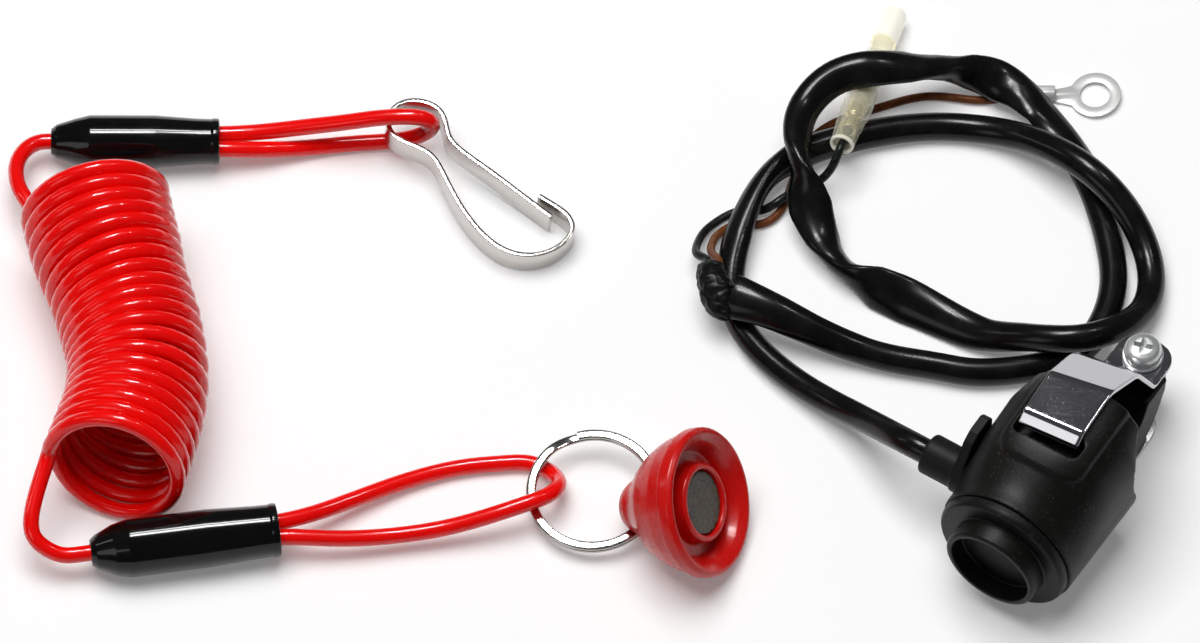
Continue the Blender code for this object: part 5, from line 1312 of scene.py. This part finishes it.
strapLook = {
    "thickness": 1.2, "endRound": 5.2, "edge": 0.3,
    # how far back: (left edge, right edge, skew of the line across)
    "edges": (
        (20.0, -8.6, 6.4, 0.08), (30.0, -8.6, 6.3, 0.09), (40.0, -9.0, 6.0, 0.20), (51.0, -9.6, 6.2, 0.20),
        (61.0, -6.6, 6.7, 0.03), (90.0, -6.6, 6.7, 0.0)
    ),
}
strapCorners = [
    (27.1, 37.2, 0.0), (27.0, 38.3, 0.4), (29.1, 40.095, 1.7), (41.3, 40.095, 2.6), (52.6, 32.8, 7.0),
    (60.3, 18.9, 2.2), (71.3, 18.9)
]


def makeStrap():
    # rounded flat sections along the bent line, as wide as the table of edges says
    info = strapLook
    line = roundedLine(strapCorners, 7)
    fine = []
    for first, second in zip(line[:-1], line[1:]):
        steps = max(1, round(math.dist(first, second) / 0.7))
        fine += [Vector(first).lerp(Vector(second), k / steps) for k in range(steps)]
    fine.append(Vector(line[-1]))
    ends = strapCorners[-1][0] - info["endRound"]
    marks, left, right, skews = zip(*info["edges"])
    half, edge = info["thickness"] / 2, info["edge"]
    rings = []
    for before, point, after in zip(fine[:1] + fine[:-1], fine, fine[1:] + fine[-1:]):
        way = (after - before).normalized()
        low, high = np.interp(point.x, marks, left), np.interp(point.x, marks, right)
        if point.x > ends and point.y < 19.5:
            trim = info["endRound"] - math.sqrt(max(0.0, info["endRound"] ** 2 - (point.x - ends) ** 2))
            low, high = low + trim, high - trim
        skew = np.interp(point.x, marks, skews)
        ring = []
        for cx, cy, first in ((high, 1, 0), (low, 1, 90), (low, -1, 180), (high, -1, 270)):
            for turn in (0, 30, 60, 90):
                angle = math.radians(first + turn)
                x = cx - math.copysign(edge, cx) + edge * math.cos(angle)
                out = cy * (half - edge) + edge * math.sin(angle)
                ring.append((x, out))
            if first in (0, 180):  # the flat faces have more points near their edges, for clean shading
                far = (low + edge if first == 0 else high - edge) - x
                ring += [(x + far * share, out) for share in (0.05, 0.25, 0.5, 0.75, 0.95)]
        rings.append([(x, point.x + skew * x - way.y * out, point.y + way.x * out) for x, out in ring])
    return place(
        "clampStrap", skin("clampStrap", rings), chrome, local=switchFrame, nodes=("clamp_strap",),
        angle=50.0
    )


clampStrap = makeStrap()
screwLook = {
    "at": 66.0, "headR": 4.3, "headH": 3.4, "seat": 20.8, "cross": 1.15, "crossDepth": 2.3, "turn": 18.0
}


def makeScrew():
    # a domed head with a cross cut by two tapering wings
    info = screwLook
    top = info["seat"] + info["headH"]
    r = info["headR"]
    line = [
        (top, 0.0, 0.0), (top - 0.02, r * 0.5, 2.0), (top - 0.55, r * 0.86, 1.4), (top - 1.6, r, 0.8),
        (info["seat"] + 0.35, r, 0.3), (info["seat"], r - 0.3, 0.1), (info["seat"], 2.4, 0.1),
        (3.6, 2.4, 0.2), (2.8, 1.7, 0.1), (2.8, 0.0, 0.0),
    ]
    mesh = turned("clampScrew", roundedLine(line, 6), 72)
    mesh.transform(Matrix.Rotation(math.radians(90.0), 4, "X"))
    for angle in (0.0, 90.0):
        wing = bmesh.new()
        low, high = info["cross"] * 0.35, info["cross"] * 0.62
        rings = []
        for z, half, thick in ((top - info["crossDepth"], 0.9, low), (top + 0.8, 2.75, high)):
            rings.append(
                [
                    wing.verts.new((x, y, z)) for x,
                    y in ((-half, -thick), (half, -thick), (half, thick), (-half, thick))
                ]
            )
        wing.faces.new(rings[0][::-1])
        wing.faces.new(rings[1])
        for k in range(4):
            wing.faces.new((rings[0][k], rings[0][(k + 1) % 4], rings[1][(k + 1) % 4], rings[1][k]))
        tool = bpy.data.meshes.new("crossWing")
        wing.to_mesh(tool)
        wing.free()
        tool.transform(Matrix.Rotation(math.radians(info["turn"] + angle), 4, "Z"))
        mesh = cutAway(mesh, tool)
    local = switchFrame @ Matrix.Translation((0.0, info["at"], 0.0))
    return place("clampScrew", mesh, zinc, local=local, nodes=("clamp_screw",), angle=35.0)


clampScrew = makeScrew()


def makeWasher():
    line = [(19.6, 2.75, 0.0), (19.6, 4.7, 0.15), (20.6, 4.7, 0.25), (20.6, 2.75, 0.1), (19.6, 2.75, 0.0)]
    mesh = turned("screwWasher", roundedLine(line, 4)[:-1], 64)
    mesh.transform(Matrix.Rotation(math.radians(90.0), 4, "X"))
    local = switchFrame @ Matrix.Translation((0.0, screwLook["at"], 0.0))
    return place("screwWasher", mesh, zinc, local=local, nodes=("screw_washer",), angle=35.0)


screwWasher = makeWasher()
footPlateLook = {"half": 7.2, "from": 51.2, "endAt": 58.6, "low": 0.2, "high": 1.15}


def makeFootPlate():
    # the thin plate under the arm, whose round end shows beside it
    info = footPlateLook
    outline = [(-info["half"], info["from"]), (info["half"], info["from"])]
    turns = np.linspace(0.0, math.pi, 24)
    outline += [(info["half"] * math.cos(a), info["endAt"] + info["half"] * math.sin(a)) for a in turns]
    mesh = prism("footPlate", outline, info["low"], info["high"])
    mesh = bevelled(mesh, 0.2)
    return place("footPlate", mesh, zinc, local=switchFrame, angle=35.0)


footPlate = makeFootPlate()
noseLook = {"noseR": 11.52, "recessR": 10.0, "recessDepth": 4.5, "bezelR": 16.25, "rear": 7.5}


def makeNose():
    # the nose's recess, its rim and the wider bezel behind it
    info = noseLook
    line = [
        (info["recessDepth"] + 0.05, 0.0, 0.0), (info["recessDepth"] + 0.05, 0.45, 0.05),
        (info["recessDepth"], 0.7, 0.05), (info["recessDepth"], info["recessR"], 0.45),
        (0.0, info["recessR"], 0.35), (0.0, info["noseR"], 0.75), (4.9, info["noseR"], 0.35),
        (4.9, 15.9, 0.9), (6.0, info["bezelR"], 0.6), (info["rear"], info["bezelR"], 0.15),
        (info["rear"], 13.1, 0.1), (11.9, 13.1, 0.1), (11.9, 11.1, 0.1), (5.7, 11.1, 0.1), (5.7, 0.0, 0.0),
    ]
    mesh = turned("frontBezel", roundedLine(line, 6), 128)
    return place(
        "frontBezel", mesh, blackPlastic, local=barrelFrame, nodes=("front_bezel",),
        angle=35.0
    )


frontBezel = makeNose()
housingLook = {
    "front": 7.7, "rear": 35.5, "lip": 42.3, "frontR": 16.8, "rearR": 17.4, "axis": 17.6, "top": 38.3,
    "square": 0.9, "panelFront": 18.4, "panelHalf": 10.9, "panelRound": 4.6, "barY": 45.6, "barZ": 21.5,
    "barR": 11.4, "armHalf": 7.3, "armRise": 21.2, "armCentre": 43.9, "padZ": 18.0, "glandAt": 18.7,
    "glandAxis": 18.6, "voxel": 0.30,
}


def housingSection(y, lift):
    # a round section at the nose that swells into a squarer one at the saddle
    info = housingLook
    along = min(1.0, (y - info["front"]) / (info["rear"] - info["front"]))
    radius = info["frontR"] + (info["rearR"] - info["frontR"]) * along
    t = min(1.0, max(0.0, (y - 9.5) / 16.0))
    swell = t * t * (3 - 2 * t)
    rise = (info["top"] - info["axis"] - radius) * swell
    power = 2.0 / (2.0 + info["square"] * swell)
    narrow = max(0.0, (y - info["rear"]) / (info["lip"] - info["rear"])) * 1.6
    ring = []
    for k in range(120):
        c, s = math.cos(math.pi * k / 60), math.sin(math.pi * k / 60)
        bend = power if s > 0 else 1.0
        x = (radius + lift - narrow) * math.copysign(abs(c) ** bend, c)
        z = (radius + lift + (rise if s > 0 else 0.0)) * math.copysign(abs(s) ** bend, s)
        ring.append((x, y, info["axis"] + z))
    return ring


def makeHousing():
    # the body, its raised panel and the saddle's arm melted into one moulding
    info = housingLook
    spots = np.arange(info["front"], info["lip"] + 0.01, (info["lip"] - info["front"]) / 40)
    mesh = skin("switchHousing", [housingSection(y, 0.0) for y in spots])
    settle(mesh, 30.0)
    under = [(info["rear"], -5.0), (60.0, -5.0), (60.0, info["barZ"]), (info["rear"], info["barZ"])]
    mesh = cutAway(mesh, prism("underLip", under, -30.0, 30.0, sideways))
    # a shallow raised panel with a round front, in three small steps
    for lift, inset in ((0.40, 0.0), (0.65, 0.22), (0.85, 0.50)):
        shell = skin("panel", [housingSection(y, lift) for y in np.linspace(14.0, info["lip"] - 0.05, 36)])
        settle(shell, 30.0)
        half = info["panelHalf"] - inset
        plan = roundedBox((-half, info["panelFront"] + inset), (half, 60.0), info["panelRound"])
        shell = cutAway(shell, prism("panelPlan", plan, 27.0, 50.0), "INTERSECT")
        mesh = cutAway(mesh, shell, "UNION")
    rise, mid, screwAt = info["armRise"], info["armCentre"], screwLook["at"]
    turns = [math.radians(a) for a in range(-90, -9, 4)]
    arm = [(27.5, 0.3)] + [(mid + rise * math.cos(a), 0.3 + rise + rise * math.sin(a)) for a in turns]
    arm += [(mid + rise, info["padZ"]), (27.5, info["padZ"])]
    armMesh = prism("rearArm", arm, -info["armHalf"], info["armHalf"], sideways)
    mesh = cutAway(mesh, armMesh, "UNION")
    boss = prism("screwBoss", circle(0.0, screwAt, 5.4, 40), 7.0, info["padZ"] - 0.02)
    mesh = cutAway(mesh, boss, "UNION")
    seat = turned(
        "glandSeat", roundedLine(
            [(-16.75, 0.0), (-16.75, 6.2, 0.8), (-12.0, 9.4), (-6.0, 9.4), (-6.0, 0.0)]
        ), 64
    )
    seat.transform(
        Matrix.Translation(
            (0.0, info["glandAt"], info["glandAxis"])
        ) @ Matrix.Rotation(math.radians(-90.0), 4, "Z")
    )
    settle(seat, 30.0)
    mesh = cutAway(mesh, seat, "UNION")
    bar = circle(info["barY"], info["barZ"], info["barR"], 64)
    mesh = cutAway(mesh, prism("bar", bar, -30.0, 30.0, sideways))
    mesh = cutAway(mesh, prism("strapSlot", roundedBox((-9.2, 23.6), (7.6, 29.2), 1.8), 34.0, 50.0))
    mesh = cutAway(mesh, prism("nutPocket", circle(0.0, screwAt, 4.6, 6), -2.0, 10.3))
    mesh = cutAway(mesh, prism("screwHole", circle(0.0, screwAt, 2.8, 32), 5.0, 30.0))
    mesh = moulded(mesh, info["voxel"])
    bore = turned(
        "bore", [(5.0, 0.0), (5.0, 13.4), (17.0, 13.4), (17.0, 12.2), (27.5, 12.2), (27.5, 0.0)], 64
    )
    bore.transform(Matrix.Translation((0.0, 0.0, info["axis"])))
    settle(bore, 30.0)
    mesh = cutAway(mesh, bore)
    return place(
        "switchHousing", mesh, blackPlastic, local=switchFrame, nodes=("switch_housing",),
        angle=60.0
    )


switchHousing = makeHousing()
glandLook = {
    "reach": 27.8, "collarR": 4.8, "boreR": 3.35, "plateR": 5.3, "plateFace": -16.9, "plate": 2.4,
    "voxel": 0.2
}


def makeGland():
    # a collar with a soft waist, a flange plate behind it and the sleeve's socket
    info, at, axis = glandLook, housingLook["glandAt"], housingLook["glandAxis"]
    line = [
        (0.0, info["boreR"], 0.2), (0.0, info["collarR"], 0.9), (8.0, info["collarR"], 0.8),
        (10.9, 5.4, 0.6), (11.2, 5.4, 0.1), (11.2, 4.2, 0.1), (12.6, 4.2, 0.1), (12.6, 2.3, 0.1),
        (3.0, 2.3, 0.1), (3.0, info["boreR"], 0.1), (0.0, info["boreR"], 0.0),
    ]
    mesh = turned("cableGland", roundedLine(line, 6)[:-1], 72)
    mesh.transform(
        Matrix.Translation((-info["reach"], at, axis)) @ Matrix.Rotation(math.radians(-90.0), 4, "Z")
    )
    settle(mesh, 30.0)
    turns = np.linspace(math.radians(150.0), math.radians(325.0), 24)
    outline = [(at + info["plateR"] * math.cos(a), axis + info["plateR"] * math.sin(a)) for a in turns]
    outline += [(26.6, 19.0), (28.6, 21.5), (28.6, 28.9), (27.2, 30.3), (22.6, 30.3), (20.0, 29.0)]
    plate = prism("glandPlate", outline, info["plateFace"] - info["plate"], info["plateFace"], sideways)
    plate = cutAway(plate, prism("glandHole", circle(at, axis, 3.0, 32), -40.0, 0.0, sideways))
    mesh = moulded(cutAway(mesh, plate, "UNION"), info["voxel"])
    return place(
        "cableGland", mesh, blackRubber, local=switchFrame, nodes=("cable_gland",),
        angle=60.0
    )


cableGland = makeGland()
springLook = {"radius": 6.0, "wireR": 0.3, "turns": 3, "front": 6.3, "rear": 8.6, "travel": 1.1}


def makeSpring():
    # the spring behind the nose, wound as one fixed coil of wire
    info = springLook
    path = []
    for t in np.linspace(0.0, 1.0, 24 * info["turns"] + 1):
        angle = 2 * math.pi * info["turns"] * t
        spot = (
            info["radius"] * math.cos(angle), info["front"] + (info["rear"] - info["front"]) * t,
            info["radius"] * math.sin(angle)
        )
        path.append(barrelFrame @ Vector(spot))
    spring = roundCord(
        "returnSpring", path, 2 * info["wireR"] * mm, steel, ("return_spring",), sides=10
    )
    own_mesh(spring)
    return spring


returnSpring = makeSpring()

# the solids that have no piece of their own keep their shape and get a finish
for name, finish in (
    ("contact_carrier", blackPlastic), ("clamp_nut", zinc),
    ("contact_left", brass), ("contact_right", brass), ("contact_plate", steel),
    ("upper_ferrule", steel), ("lower_ferrule", steel),
):
    node = cadNodes[name]
    for holder in node.material_slots:
        holder.material = finish
print("switch dressed")
